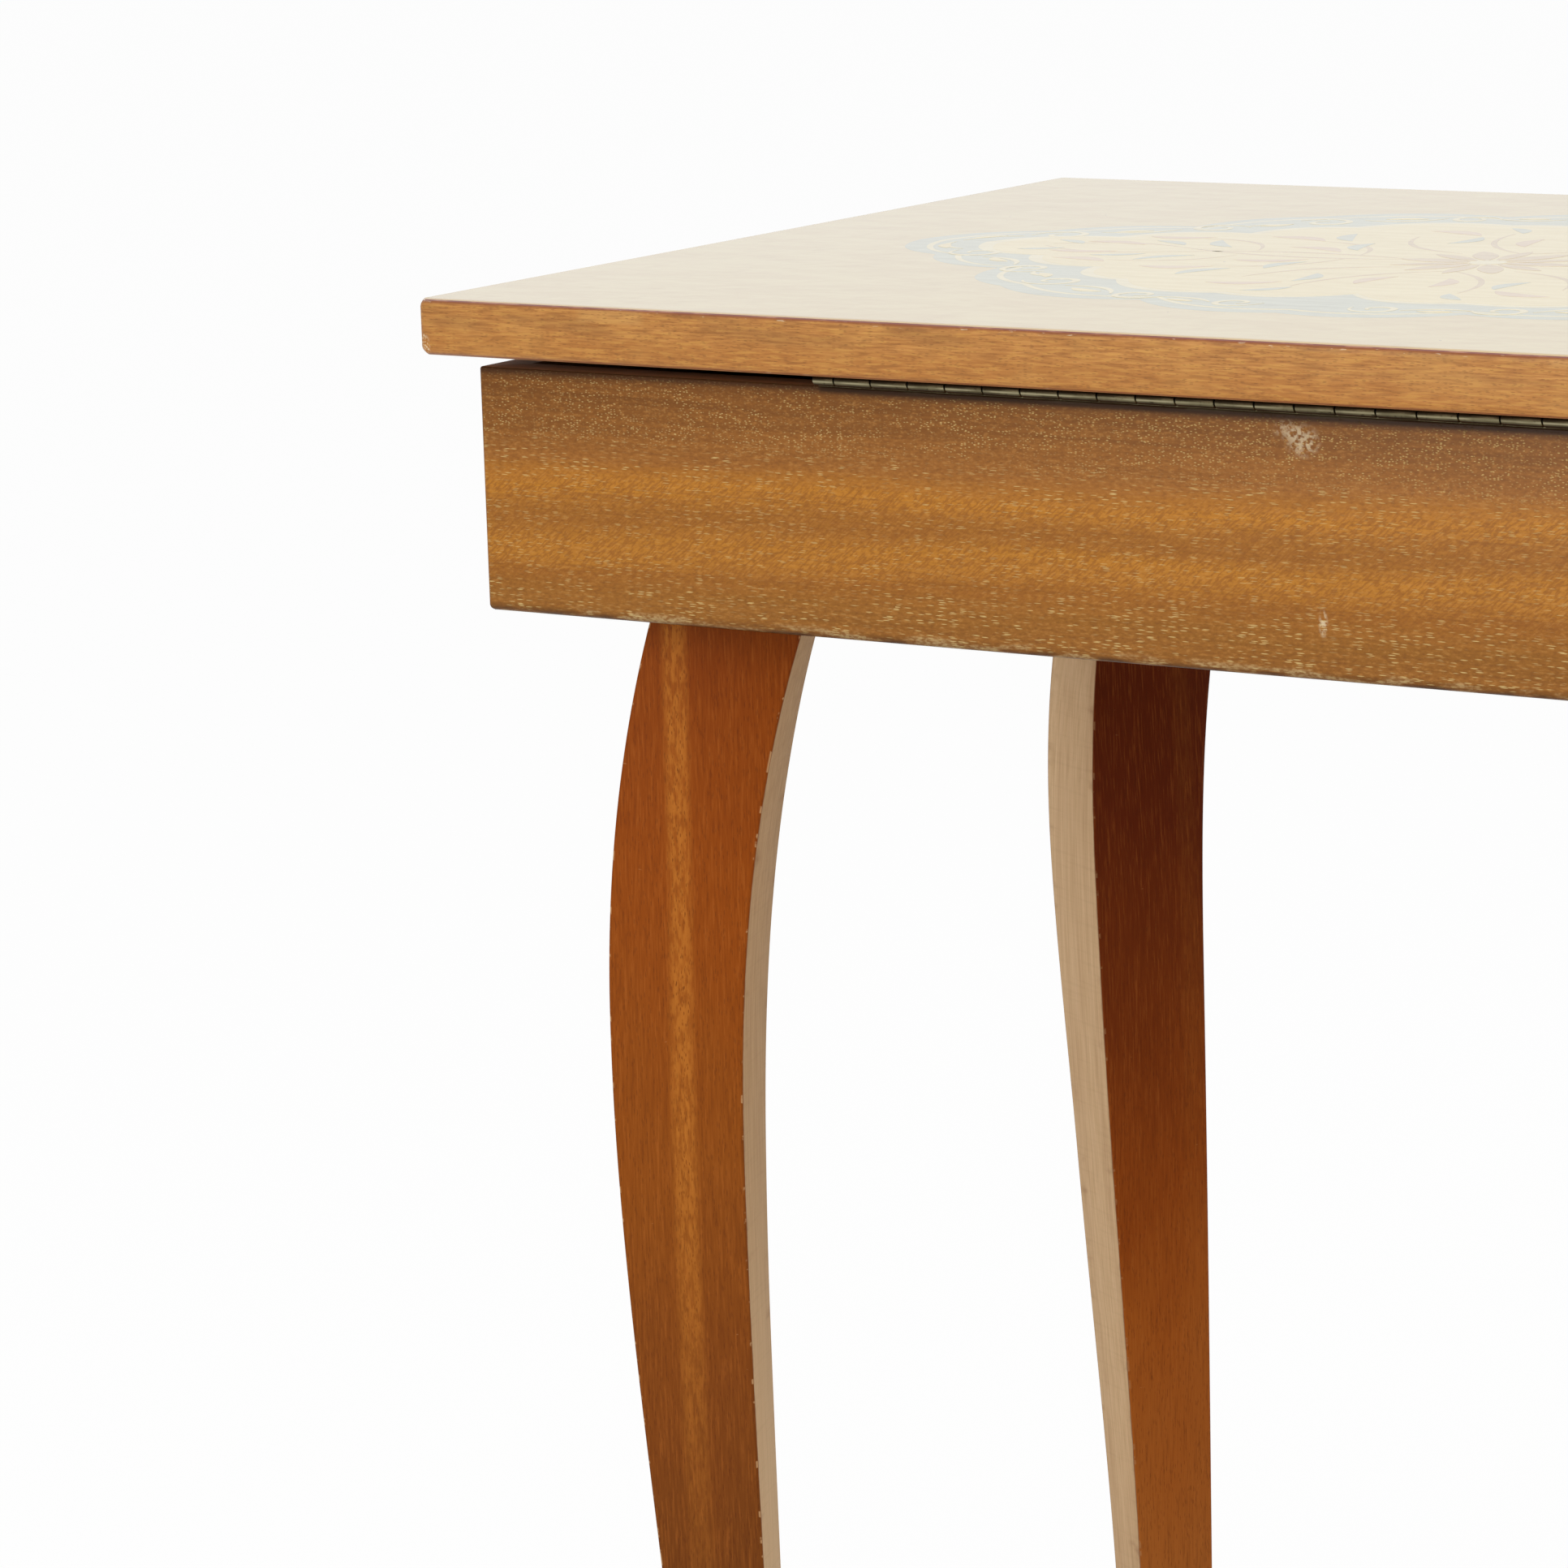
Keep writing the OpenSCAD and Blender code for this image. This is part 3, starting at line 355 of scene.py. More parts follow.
def ribbon_veneer(name, slope, shift, scuffs, shadowed_run=0.0):
    """Striped veneer; slope is the stripes' rise along the board, shift their start, oily the
    length of hinge whose shadow is painted below it, and a scuff is (x, z, half width, half height,
    strength)."""
    wood, tree, shader, place = finish(name, Roughness=0.45, Specular_IOR_Level=0.1)
    axes = axes_of(tree, place)
    grain = use(tree, grain_group, Place=place, Streak=(0.05, 0.0007, 0.0007))
    wander = noise(tree, place, (0.16, 0.1, 0.02), 2.0)

    # Stripes that rise and wander along the board
    up = maths(tree, "DIVIDE", axes[2], BOX_H)
    band = plus(tree, up, times(tree, axes[0], -slope / BOX_H))
    band = plus(tree, band, swing(tree, wander, 0.16))
    band = plus(tree, band, swing(tree, grain["Grain"], 0.1))
    band = plus(tree, band, shift)
    colour = ramp(tree, band, [
        (0.0, "7E5020"), (0.14, "865722"), (0.26, "8F5A21"), (0.33, "A66D27"), (0.4, "A96F26"),
        (0.47, "8F5B22"), (0.54, "986224"), (0.6, "AF7326"), (0.65, "A06725"), (0.71, "8B5826"),
        (0.85, "784B20"), (1.0, "6C431C")])
    golden = times(tree, between(tree, band, 0.16, 0.26), between(tree, band, 0.68, 0.6))

    # Streaks, dark grain and crumbs
    streak = between(tree, noise(tree, place, (0.08, 0.0012, 0.0012), 3.0), 0.35, 0.65)
    colour = tint(tree, times(tree, streak, 0.25), colour, "A26A30")
    dark_grain = between(tree, grain["Grain"], 0.5, 0.32, 0, 0.25)
    colour = tint(tree, dark_grain, colour, "6F4520")
    crumb = noise(tree, place, (0.0014, 0.0006, 0.0006), 4.0)
    colour = tint(tree, between(tree, crumb, 0.5, 0.3, 0, 0.4), colour, "6A3F1C")
    colour = tint(tree, between(tree, crumb, 0.52, 0.7, 0, 0.3), colour, "B88446")

    # Slanting flecks, most in the golden stripes
    slant = put(tree, "ShaderNodeMapping", {
        "Vector": place, "Rotation": (0, math.radians(38), 0)}).outputs[0]
    fleck = between(tree, noise(tree, slant, (0.0024, 0.0008, 0.0005), 2.0), 0.48, 0.58)
    fleck = times(tree, fleck, plus(tree, times(tree, golden, 0.5), 0.1))
    colour = tint(tree, fleck, colour, "855120")

    # Limed pores: dashes below and dots near the top, fewer where the wood is golden
    dots = use(tree, pore_group, Place=place, Dash=(0.0010, 0.00043, 0.00043), Amount=0.62)["Pores"]
    dashes = use(tree, pore_group, Place=place, Dash=(0.0032, 0.00038, 0.00038), Amount=0.5)["Pores"]
    top = between(tree, up, 0.66, 0.8)
    pores = put(tree, "ShaderNodeMix", {0: top, 2: dashes, 3: times(tree, dots, 0.8)}).outputs[0]
    thin = between(tree, noise(tree, place, (0.012, 0.003, 0.003), 3.0), 0.36, 0.58, 0.2, 1.0)
    thin = times(tree, thin, maths(tree, "SUBTRACT", 1.0, times(tree, golden, 0.45)))
    lime = times(tree, pores, thin)
    colour = tint(tree, times(tree, lime, 0.72), colour, "CBB074")

    # Lower edge, rubbed pale in places and grimy between
    edge_wear = noise(tree, place, (0.014, 0.01, 0.003), 4.0)
    pale_rub = times(tree, between(tree, axes[2], 3.5 * MM, 1.2 * MM),
                     between(tree, edge_wear, 0.5, 0.6, 0, 0.5))
    pale_rub = times(tree, pale_rub, between(tree, crumb, 0.4, 0.6, 0.2, 1.0))
    colour = tint(tree, pale_rub, colour, "C2AC7C")
    grime = times(tree, between(tree, axes[2], 2.6 * MM, 0.2 * MM),
                  between(tree, edge_wear, 0.58, 0.36, 0.35, 0.9))
    colour = tint(tree, grime, colour, "3E2614")

    # Upper edge: painted shade under the lid's overhang, wear along its arris, and the darker mitres
    overhang_shade = between(tree, plus(tree, axes[2], times(tree, wander, 2 * MM)),
                     BOX_H - 2.4 * MM, BOX_H + 0.6 * MM, 0, 0.85)
    colour = tint(tree, overhang_shade, colour, "3A2415")
    worn = times(tree, between(tree, axes[2], BOX_H - 0.9 * MM, BOX_H - 0.3 * MM),
                 between(tree, noise(tree, place, (0.03, 0.01, 0.01), 3.0), 0.55, 0.62, 0, 0.6))
    colour = tint(tree, worn, colour, "8C8468")
    edge = between(tree, maths(tree, "ABSOLUTE", axes[0]), BOX_W / 2 - BOX_CORNER, BOX_W / 2, 0, 0.5)
    colour = tint(tree, edge, colour, "5A3A1E")
    if shadowed_run:
        # Painted shadow of the hinge: a dark line along the top of the back board under it
        under = between(tree, maths(tree, "ABSOLUTE", axes[0]), shadowed_run / 2 + 1 * MM, shadowed_run / 2 - 1 * MM)
        under = times(tree, under,
                      between(tree, axes[2], BOX_H - 2 * MM, BOX_H - 0.8 * MM, 0, 0.85))
        colour = tint(tree, under, colour, "2C1A0B")

    # Scuffs through the lacquer
    for x, z, wide, high, strength in scuffs:
        spot = (x, -BOX_D / 2, z)
        away = put(tree, "ShaderNodeVectorMath", {0: place, 1: spot}, operation="SUBTRACT").outputs[0]
        away = stretched(tree, away, (wide, 1.0, high))
        far = put(tree, "ShaderNodeVectorMath", {0: away}, operation="LENGTH").outputs["Value"]
        rough = noise(tree, place, (0.0014, 0.001, 0.0014), 4.0)
        mark = times(tree, between(tree, far, 1.0, 0.25), between(tree, rough, 0.42, 0.58, 0, strength))
        colour = tint(tree, mark, colour, "D9C9A6")
    feed(tree, shader, Base_Color=colour, Roughness=between(tree, lime, 0, 1, 0.38, 0.7))
    relief(tree, shader, maths(tree, "SUBTRACT", times(tree, grain["Grain"], 0.5), lime), 0.35)
    return wood


def plain_board(name):
    """Plain brown wood, stained and unpolished."""
    wood, tree, shader, place = finish(name, Roughness=0.6)
    grain = use(tree, grain_group, Place=place, Streak=(0.05, 0.0014, 0.0014))
    colour = ramp(tree, grain["Grain"], [(0.3, "6B4526"), (0.5, "7E5430"), (0.7, "8F633B")])
    colour = tint(tree, between(tree, grain["Mottle"], 0.5, 0.7, 0, 0.4), colour, "5E3B20")
    feed(tree, shader, Base_Color=colour)
    relief(tree, shader, grain["Grain"], 0.3)
    return wood


board_inside = plain_board("stained board inside")
back_marks = [(28 * MM, 58 * MM, 6 * MM, 5 * MM, 0.5), (24 * MM, 60.5 * MM, 5 * MM, 3 * MM, 0.35),
              (33 * MM, 14 * MM, 1.6 * MM, 4.5 * MM, 0.6)]
front_marks = [(-40 * MM, 30 * MM, 5 * MM, 3 * MM, 0.5), (70 * MM, 45 * MM, 3 * MM, 2 * MM, 0.6)]
front_veneer = ribbon_veneer("front ribbon veneer", -0.012, 0.04, front_marks)
back_veneer = ribbon_veneer("back ribbon veneer", 0.018, 0.0, back_marks, HINGE_L)
left_veneer = ribbon_veneer("left ribbon veneer", 0.01, -0.03, [])
right_veneer = ribbon_veneer("right ribbon veneer", -0.02, 0.02, [])

# Length, how far out the face stands, which way it is turned, and its veneer
box_sides = {
    "front_board": (BOX_W, BOX_D / 2, 0, front_veneer),
    "back_board": (BOX_W, BOX_D / 2, 180, back_veneer),
    "left_board": (BOX_D, BOX_W / 2, -90, left_veneer),
    "right_board": (BOX_D, BOX_W / 2, 90, right_veneer)}

# Height and how far the face is worn back there, in mm, and 1 where the bottom's groove is cut
board_levels = [(0, 1.5, 0), (0.2, 0.9, 0), (0.6, 0.35, 0), (1.3, 0, 0), (3, 0, 0), (3, 0, 1),
                (12, 0, 1), (12, 0, 0), (64, 0, 0), (64.35, 0.2, 0), (64.5, 0.5, 0)]
for name, (length, half, turn, face_veneer) in box_sides.items():
    bm = bmesh.new()
    loft(bm, [side_ring(length, half, back * MM, BOARD_T - in_groove * GROOVE, BOX_CORNER, z * MM)
              for z, back, in_groove in board_levels])
    board = piece(name.replace("_", "_veneered_"), bm, "table", [face_veneer, board_inside],
                  turned(turn, (0, 0, BOX_Z)),
                  pick=lambda face: 0 if face.calc_center_median().y < -half + FACED_DEPTH else 1)
    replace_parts(board, name)


# ---------- Box: bottom, dividers and ledges ----------
# The bottom is a thin stained board let into the boards' grooves. Thin stained dividers make a
# large tray, a small tray and the movement's bay, and ledges are glued in for the clear pane.
def dress(node, surface):
    """Gives a piece that is used as it was built its material."""
    mesh = nodes[node].data
    mesh.materials.clear()
    mesh.materials.append(surface)


dress("bottom_panel", plain_board("stained bottom board"))
divider_wood = plain_board("stained divider")
for name in ("cross_divider", "bay_divider", "pane_ledges"):
    dress(name, divider_wood)


# ---------- Musical movement ----------
# A cast bedplate, screwed to the bottom, carries the spring barrel, the pinned brass cylinder
# with its steel comb, and the governor: a wheel, a worm and a fly that the lid's stop rod lets
# go. A brass key below the bottom winds the spring.
def aged_metal(name, bright, dull, stain, rough, size, pits=0.12, painted_marks=None):
    """bright and dull are its colours and stain that of its spots, rough its least and most
    roughness, size that of its clouds, pits their depth, and handled a function that paints more over its
    colours."""
    metal, tree, shader, place = finish(name, Metallic=1.0)
    cloud = noise(tree, place, (size, size, size), 5.0)
    spots = noise(tree, place, (size * 0.16, size * 0.16, size * 0.16), 3.0)
    colour = tint(tree, between(tree, cloud, 0.36, 0.64), bright, dull)
    colour = tint(tree, between(tree, spots, 0.58, 0.72, 0, 0.7), colour, stain)
    if painted_marks:
        colour = painted_marks(tree, place, colour, stain)
    feed(tree, shader, Base_Color=colour, Roughness=between(tree, cloud, 0.3, 0.7, *rough))
    relief(tree, shader, spots, pits)
    return metal


cast_metal = aged_metal("cast bedplate", "A8A69F", "8E8B84", "6B675F", (0.42, 0.6), 0.004, 0.05)
movement_brass = aged_metal("movement brass", "CDAA5E", "B8924A", "7A5D2C", (0.22, 0.4), 0.006, 0.03)
steel = aged_metal("bright steel", "B9B8B4", "9C9A96", "6E6A66", (0.2, 0.38), 0.005, 0.02)
frame_steel = aged_metal("plated steel", "A9A8A2", "8B8983", "5F5A52", (0.3, 0.48), 0.006, 0.04)
blue_steel = aged_metal("tempered spring", "77797F", "5C5E66", "3E3C3C", (0.25, 0.42), 0.004, 0.03)
bright_screws = aged_metal("bright screws", "C2C0B8", "A09D94", "6A6258", (0.24, 0.42), 0.003)
key_brass = aged_metal("key brass", "C9A458", "A98442", "5E4722", (0.24, 0.45), 0.008)
for surface, names in (
        (cast_metal, ("bedplate",)),
        (movement_brass, ("spring_barrel", "barrel_cap", "cylinder_sleeve", "cylinder_caps",
                          "cylinder_wheel", "cylinder_pinion", "second_wheel")),
        (steel, ("cylinder_arbor", "cylinder_pins", "comb", "comb_screws", "second_pinion", "worm",
                 "winding_arbor")),
        (frame_steel, ("arbor_bracket", "comb_base", "governor_frame", "frame_screws", "stop_bracket",
                       "stop_rod", "fly")),
        (blue_steel, ("mainspring", "clutch_spring")),
        (bright_screws, ("bed_screws",)),
        (key_brass, ("winding_key", "key_washer"))):
    for name in names:
        dress(name, surface)


# ---------- Felt and clear pane ----------
# Green felt lies on the floors of the two trays, its edges cut by hand. A clear pane lies on
# the ledges over the movement.
felt, tree, shader, place = finish("green felt", Roughness=0.95, Sheen_Weight=0.6, Sheen_Roughness=0.5)
fuzz = noise(tree, place, (0.0009, 0.0005, 0.0005), 5.0)
nap = noise(tree, place, (0.03, 0.02, 0.02), 3.0)
colour = ramp(tree, nap, [(0.3, "29472F"), (0.7, "2F5036")])
colour = tint(tree, between(tree, fuzz, 0.45, 0.7, 0, 0.5), colour, "4A6E4C")
feed(tree, shader, Base_Color=colour)
relief(tree, shader, fuzz, 0.6, 0.0004)
FLOOR_Z, FELT_T = 383.5 * MM, 1 * MM
CELL, INSET, RAGGED = 7 * MM, 0.3 * MM, 0.25 * MM
# Shares of its thickness that are left at its cut edge, and within at the least
PRESSED, THINNEST = 0.72, 0.88
hand = random.Random(7)


def rim_of(rows):
    """The points round the edge of a grid, in order."""
    near, far = rows[0][:-1], rows[-1][:0:-1]
    right = [row[-1] for row in rows[:-1]]
    left = [row[0] for row in rows[:0:-1]]
    return near + right + far + left


def felt_sheet(name, x0, x1, y0, y1):
    """A cut sheet of felt, a little uneven along its edges and in its thickness."""
    nx, ny = max(2, round((x1 - x0) / CELL)), max(2, round((y1 - y0) / CELL))
    bm = bmesh.new()
    layers = []
    for top in (0, 1):
        rows = []
        for j in range(ny + 1):
            row = []
            for i in range(nx + 1):
                rim = i in (0, nx) or j in (0, ny)
                inward = INSET + (hand.random() * RAGGED if rim else 0)
                x = min(max(x0 + (x1 - x0) * i / nx, x0 + inward), x1 - inward)
                y = min(max(y0 + (y1 - y0) * j / ny, y0 + inward), y1 - inward)
                share = 0
                if top:
                    share = PRESSED if rim else THINNEST + (1 - THINNEST) * hand.random()
                row.append(bm.verts.new((x, y, FLOOR_Z + FELT_T * share)))
            rows.append(row)
        layers.append(rows)
    for rows in layers:
        for j in range(ny):
            for i in range(nx):
                bm.faces.new((rows[j][i], rows[j][i + 1], rows[j + 1][i + 1], rows[j + 1][i]))
    low, high = (rim_of(rows) for rows in layers)
    for i in range(len(low)):
        j = (i + 1) % len(low)
        bm.faces.new((low[i], low[j], high[j], high[i]))
    made_piece = piece(name, bm, "table", [felt])
    return made_piece


# The sheets' left, right, near and far edges
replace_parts(felt_sheet("main_felt_sheet", -208 * MM, 67 * MM, -139 * MM, 139 * MM), "main_felt")
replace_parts(felt_sheet("small_felt_sheet", 72 * MM, 208 * MM, -27 * MM, 139 * MM), "small_felt")

pane, tree, shader, place = finish("clear pane", Roughness=0.04, Transmission_Weight=1.0, IOR=1.49)
smear = noise(tree, place, (0.03, 0.01, 0.01), 3.0)
feed(tree, shader, Base_Color=tint(tree, smear, "F4FAF8", "E9F2F0"),
     Roughness=between(tree, smear, 0.4, 0.8, 0.03, 0.12))
dress("clear_pane", pane)


# ---------- Lid: core and lipping ----------
# A chipboard core with four mitred strips of pale golden wood glued round it. The strips'
# grain runs along them; the arris is softened by sanding and rubbed bare at the corners.
LID_W, LID_D, LID_Z, CORNER = 458 * MM, 320 * MM, 439.9 * MM, 2.5 * MM
LIPPING_W, CORE_Z, CORE_H = 4 * MM, 440.5 * MM, 13.7 * MM


def lipping_wood(length):
    """Golden wood of a strip: flecked, browned and smudged, rubbed at the ends of its length."""
    wood, tree, shader, place = finish("golden lipping", Roughness=0.42, Specular_IOR_Level=0.25)
    axes = axes_of(tree, place)

    # Golden grain, redder towards its foot, with long flecks
    grain = use(tree, grain_group, Place=place, Streak=(0.012, 0.0005, 0.0005))
    colour = ramp(tree, grain["Grain"], [(0.32, "935E2A"), (0.5, "A97136"), (0.68, "B98243")])
    height = between(tree, axes[2], 1 * MM, 12 * MM)
    colour = tint(tree, between(tree, height, 0.75, 0.15, 0, 0.5), colour, "A2672B")
    fleck = noise(tree, place, (0.0055, 0.0006, 0.0006), 5.0)
    colour = tint(tree, between(tree, fleck, 0.5, 0.66, 0, 0.45), colour, "C08E44")
    colour = tint(tree, between(tree, fleck, 0.48, 0.32, 0, 0.5), colour, "7E4F20")

    # Brown smudges and paler clouds
    smudge = noise(tree, place, (0.03, 0.008, 0.006), 5.0)
    brown = times(tree, between(tree, smudge, 0.46, 0.64),
                  between(tree, height, 0.3, 0.9, 0.08, 0.42))
    colour = tint(tree, brown, colour, "85592B")
    cloud = noise(tree, place, (0.02, 0.012, 0.012), 3.0)
    colour = tint(tree, between(tree, cloud, 0.5, 0.7, 0, 0.3), colour, "BE8C48")

    # Small pale patches, and pores
    block = cell_pattern(tree, place, (0.034, 0.02, 0.011), 0.8, distance="CHEBYCHEV")
    patch = times(tree, between(tree, block.outputs["Distance"], 0.34, 0.24),
                  maths(tree, "LESS_THAN", chance(tree, block), 0.3))
    colour = tint(tree, times(tree, patch, 0.22), colour, "C9A05F")
    flecks = use(tree, pore_group, Place=place, Dash=(0.0018, 0.00035, 0.00035), Amount=0.5)["Pores"]
    colour = tint(tree, times(tree, flecks, 0.45), colour, "6B441C")

    # Chips along the top arris, and ends rubbed bare at their foot
    chips = times(tree, between(tree, noise(tree, place, (0.004, 0.001, 0.0008), 3.0), 0.66, 0.7),
                  between(tree, axes[2], CORE_H - 1.2 * MM, CORE_H))
    ends = between(tree, maths(tree, "ABSOLUTE", axes[0]), length / 2 - 5 * MM, length / 2 - 1 * MM)
    low = between(tree, axes[2], 7 * MM, 1 * MM)
    rub = times(tree, between(tree, times(tree, ends, low), 0.08, 0.4),
                between(tree, noise(tree, place, (0.0006, 0.0006, 0.0006), 4.0), 0.44, 0.6, 0, 0.6))
    colour = tint(tree, maths(tree, "MAXIMUM", chips, rub), colour, "DCC8A4")

    # Darker along the foot, and the sheet's stain run over the top
    foot = between(tree, axes[2], 0.6 * MM, -0.4 * MM, 0, 0.5)
    colour = tint(tree, foot, colour, "7A4C28")
    stain = plus(tree, axes[2], times(tree, smudge, 0.8 * MM))
    stained = between(tree, stain, CORE_H - 0.3 * MM, CORE_H + 0.3 * MM, 0, 0.7)
    colour = tint(tree, stained, colour, "7A3F2C")
    feed(tree, shader, Base_Color=colour, Roughness=between(tree, grain["Mottle"], 0.3, 0.7, 0.36, 0.5))
    relief(tree, shader, grain["Grain"], 0.25)
    return wood


# Length, how far out it stands, and which way it is turned
lid_sides = {
    "lid_lipping_front": (LID_W, LID_D / 2, 0), "lid_lipping_back": (LID_W, LID_D / 2, 180),
    "lid_lipping_left": (LID_D, LID_W / 2, -90), "lid_lipping_right": (LID_D, LID_W / 2, 90)}
lipping_finish = {LID_W: lipping_wood(LID_W), LID_D: lipping_wood(LID_D)}

# Height, how far the face is sanded back there, and how much more at the corners, in mm
lipping_levels = [(0, 0.4, 0.6), (0.4, 0.16, 0.4), (1, 0, 0.18), (1.7, 0, 0), (12.1, 0, 0),
                  (12.9, 0.08, 0.14), (13.4, 0.25, 0.34), (13.7, 0.45, 0.5)]
for name, (length, half, turn) in lid_sides.items():
    bm = bmesh.new()
    loft(bm, [side_ring(length, half, back * MM, LIPPING_W, CORNER, z * MM, worn * MM)
              for z, back, worn in lipping_levels])
    strip = piece(name.replace("lid_", "") + "_strip", bm, "lid", [lipping_finish[length]],
                  turned(turn, (0, 0, CORE_Z)))
    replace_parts(strip, name)

chipboard, tree, shader, place = finish("chipboard", Roughness=0.85)
chips = chance(tree, cell_pattern(tree, place, (0.003, 0.003, 0.0015)))
feed(tree, shader, Base_Color=ramp(tree, chips, [(0, "9A7A4C"), (0.6, "C4A26C"), (1, "D8BC88")]))
dress("lid_core", chipboard)


# ---------- Lid: marquetry top ----------
# One sheet of mixed veneers pressed over the core and the lipping, under thick clear lacquer:
# a burr ground, a lobed grey-blue surround, a pale yellow field, and cut scrolls and leaves.
WORN_RIM = 4 * MM


def veneer(name, pale, dark, speck=0.15, streak=(0.03, 0.004, 0.004)):
    """Lacquered veneer; speck is the depth of its burr and streak the size of its figure."""
    wood, tree, shader, place = finish(
        name, Roughness=0.6, Specular_IOR_Level=0.05, Coat_Weight=1.0, Coat_Roughness=0.1, Coat_IOR=1.5)
    grain = use(tree, grain_group, Place=place, Streak=streak)
    colour = tint(tree, between(tree, grain["Grain"], 0.3, 0.7), pale, dark)
    burr = noise(tree, place, (0.008, 0.008, 0.008), 3.0)
    colour = tint(tree, between(tree, burr, 0.5, 0.75, 0, speck), colour, dark, "MULTIPLY")

    # A few dark nicks, and a rim that hands have warmed
    nicks = use(tree, pore_group, Place=place, Dash=(0.013, 0.013, 0.013), Amount=0.2)["Pores"]
    tiny = cell_pattern(tree, place, (0.013, 0.013, 0.013))
    nick = times(tree, nicks, maths(tree, "LESS_THAN", tiny.outputs["Distance"], 0.03))
    colour = tint(tree, nick, colour, "5A4434")
    axes = axes_of(tree, place)
    wide = between(tree, maths(tree, "ABSOLUTE", axes[0]), LID_W / 2 - WORN_RIM, LID_W / 2, 0, 0.5)
    deep = between(tree, maths(tree, "ABSOLUTE", axes[1]), LID_D / 2 - WORN_RIM, LID_D / 2, 0, 0.5)
    colour = tint(tree, maths(tree, "MAXIMUM", wide, deep), colour, "C69E80")
    feed(tree, shader, Base_Color=colour)
    return wood


ground = veneer("burr ground veneer", "D0BC86", "C8B07A", 0.12, (0.02, 0.01, 0.01))
blue_veneer = veneer("grey-blue dyed veneer", "B5B8A3", "AAAC96")
yellow_veneer = veneer("pale yellow veneer", "E0CD92", "D8C384")
cream_veneer = veneer("cream veneer", "DFD2A4", "D6C696")
pink_veneer = veneer("rosy veneer", "CFB28A", "C6A57C")
tan_veneer = veneer("tan veneer", "C9AE7E", "BC9E6C")


def sheet_rim():
    wood, tree, shader, place = finish("dark sheet edge", Roughness=0.45, Coat_Weight=0.4)
    worn = noise(tree, place, (0.006, 0.006, 0.002), 3.0)
    feed(tree, shader, Base_Color=tint(tree, between(tree, worn, 0.45, 0.7), "7A3F33", "A06A52"))
    return wood


def lid_ring(back, z, worn=0.0, steps=6):
    """Outline of the lid with rounded corners, set back from its edge and worn at the corners."""
    ring = []
    for i, (sx, sy) in enumerate(((1, -1), (1, 1), (-1, 1), (-1, -1))):
        for k in range(steps + 1):
            a = math.radians(-90 + 90 * i + 90 * k / steps)
            r = CORNER - back - worn * abs(math.sin(2 * a))
            ring.append((sx * (LID_W / 2 - CORNER) + r * math.cos(a),
                         sy * (LID_D / 2 - CORNER) + r * math.sin(a), z))
    return ring


SHEET_Z, SHEET_T = CORE_Z + CORE_H, 0.6 * MM
sheet_levels = [(0, 0.45, 0.5), (0.3, 0.8, 0.7), (0.48, 1.2, 0.8), (0.57, 1.7, 0.6), (0.6, 2.2, 0.2),
                (0.6, 2.45, 0)]
bm = bmesh.new()
loft(bm, [lid_ring(back * MM, SHEET_Z + z * MM, worn * MM) for z, back, worn in sheet_levels])
top_sheet = piece("marquetry_ground", bm, "lid", [ground, sheet_rim()],
                  pick=lambda face: 1 if face.normal.z < 0.8 else 0)
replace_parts(top_sheet, "lid_marquetry")


CUT_T, LAYER, NEIGHBOUR = 0.12 * MM, 0.01 * MM, 0.0005 * MM


def inlay(name, outlines, level, wood):
    """Cut veneers of one wood, let into the sheet; level counts up in thin layers, and
    neighbours differ a little, so that no two faces lie in one plane."""
    bm = bmesh.new()
    for i, outline in enumerate(outlines):
        top = SHEET_Z + SHEET_T + LAYER * level + NEIGHBOUR * (i % 9)
        loft(bm, [[(x * MM, y * MM, z) for x, y in outline] for z in (top - CUT_T, top)])
    made_piece = piece(name, bm, "lid", [wood])
    return made_piece


def lobes(cusps, bulge, steps=14):
    """Closed outline of outward lobes between cusps; each lobe's bulge is a share of its chord."""
    points = []
    for (x0, y0), (x1, y1), share in zip(cusps, cusps[1:] + cusps[:1], bulge):
        for i in range(steps):
            t = i / steps
            rise = 4 * t * (1 - t) * share
            points.append((x0 + t * (x1 - x0) + rise * (y1 - y0),
                           y0 + t * (y1 - y0) - rise * (x1 - x0)))
    return points


def four_ways(points):
    """Mirrors a first-quadrant list of cusps to a closed run, anticlockwise."""
    left = [(-x, y) for x, y in points[::-1] if x]
    upper = points + left
    return upper + [(x, -y) for x, y in upper[::-1] if y]


def leaf(x, y, angle, length, width, bend=0.0, steps=12):
    """An almond leaf with pointed ends, bent to one side."""
    outline = []
    for side in (1, -1):
        run = range(steps) if side == 1 else range(steps, 0, -1)
        for i in run:
            t = i / steps
            u = (t - 0.5) * length
            bent = bend * length * (0.25 - (t - 0.5) ** 2) * 4
            v = side * width / 2 * math.sin(math.pi * t) ** 0.8 + bent
            c, s = math.cos(math.radians(angle)), math.sin(math.radians(angle))
            outline.append((x + u * c - v * s, y + u * s + v * c))
    return outline


def ribbon(path, width):
    """A narrow strip along a path, thin at both ends."""
    outer, inner = [], []
    for i, (x, y) in enumerate(path):
        (x0, y0), (x1, y1) = path[max(i - 1, 0)], path[min(i + 1, len(path) - 1)]
        long = math.hypot(x1 - x0, y1 - y0)
        w = width / 2 * (0.25 + 0.75 * math.sin(math.pi * i / (len(path) - 1)))
        outer.append((x + w * (y1 - y0) / long, y - w * (x1 - x0) / long))
        inner.append((x - w * (y1 - y0) / long, y + w * (x1 - x0) / long))
    return outer + inner[::-1]


def curl(x, y, angle, radius, sweep, width, steps=34):
    """A strip wound in on itself like a young fern."""
    path = []
    for i in range(steps + 1):
        t = i / steps
        a = math.radians(angle + sweep * t)
        r = radius * (1 - 0.72 * t ** 0.8)
        path.append((x + r * math.cos(a), y + r * math.sin(a)))
    return ribbon(path, width)


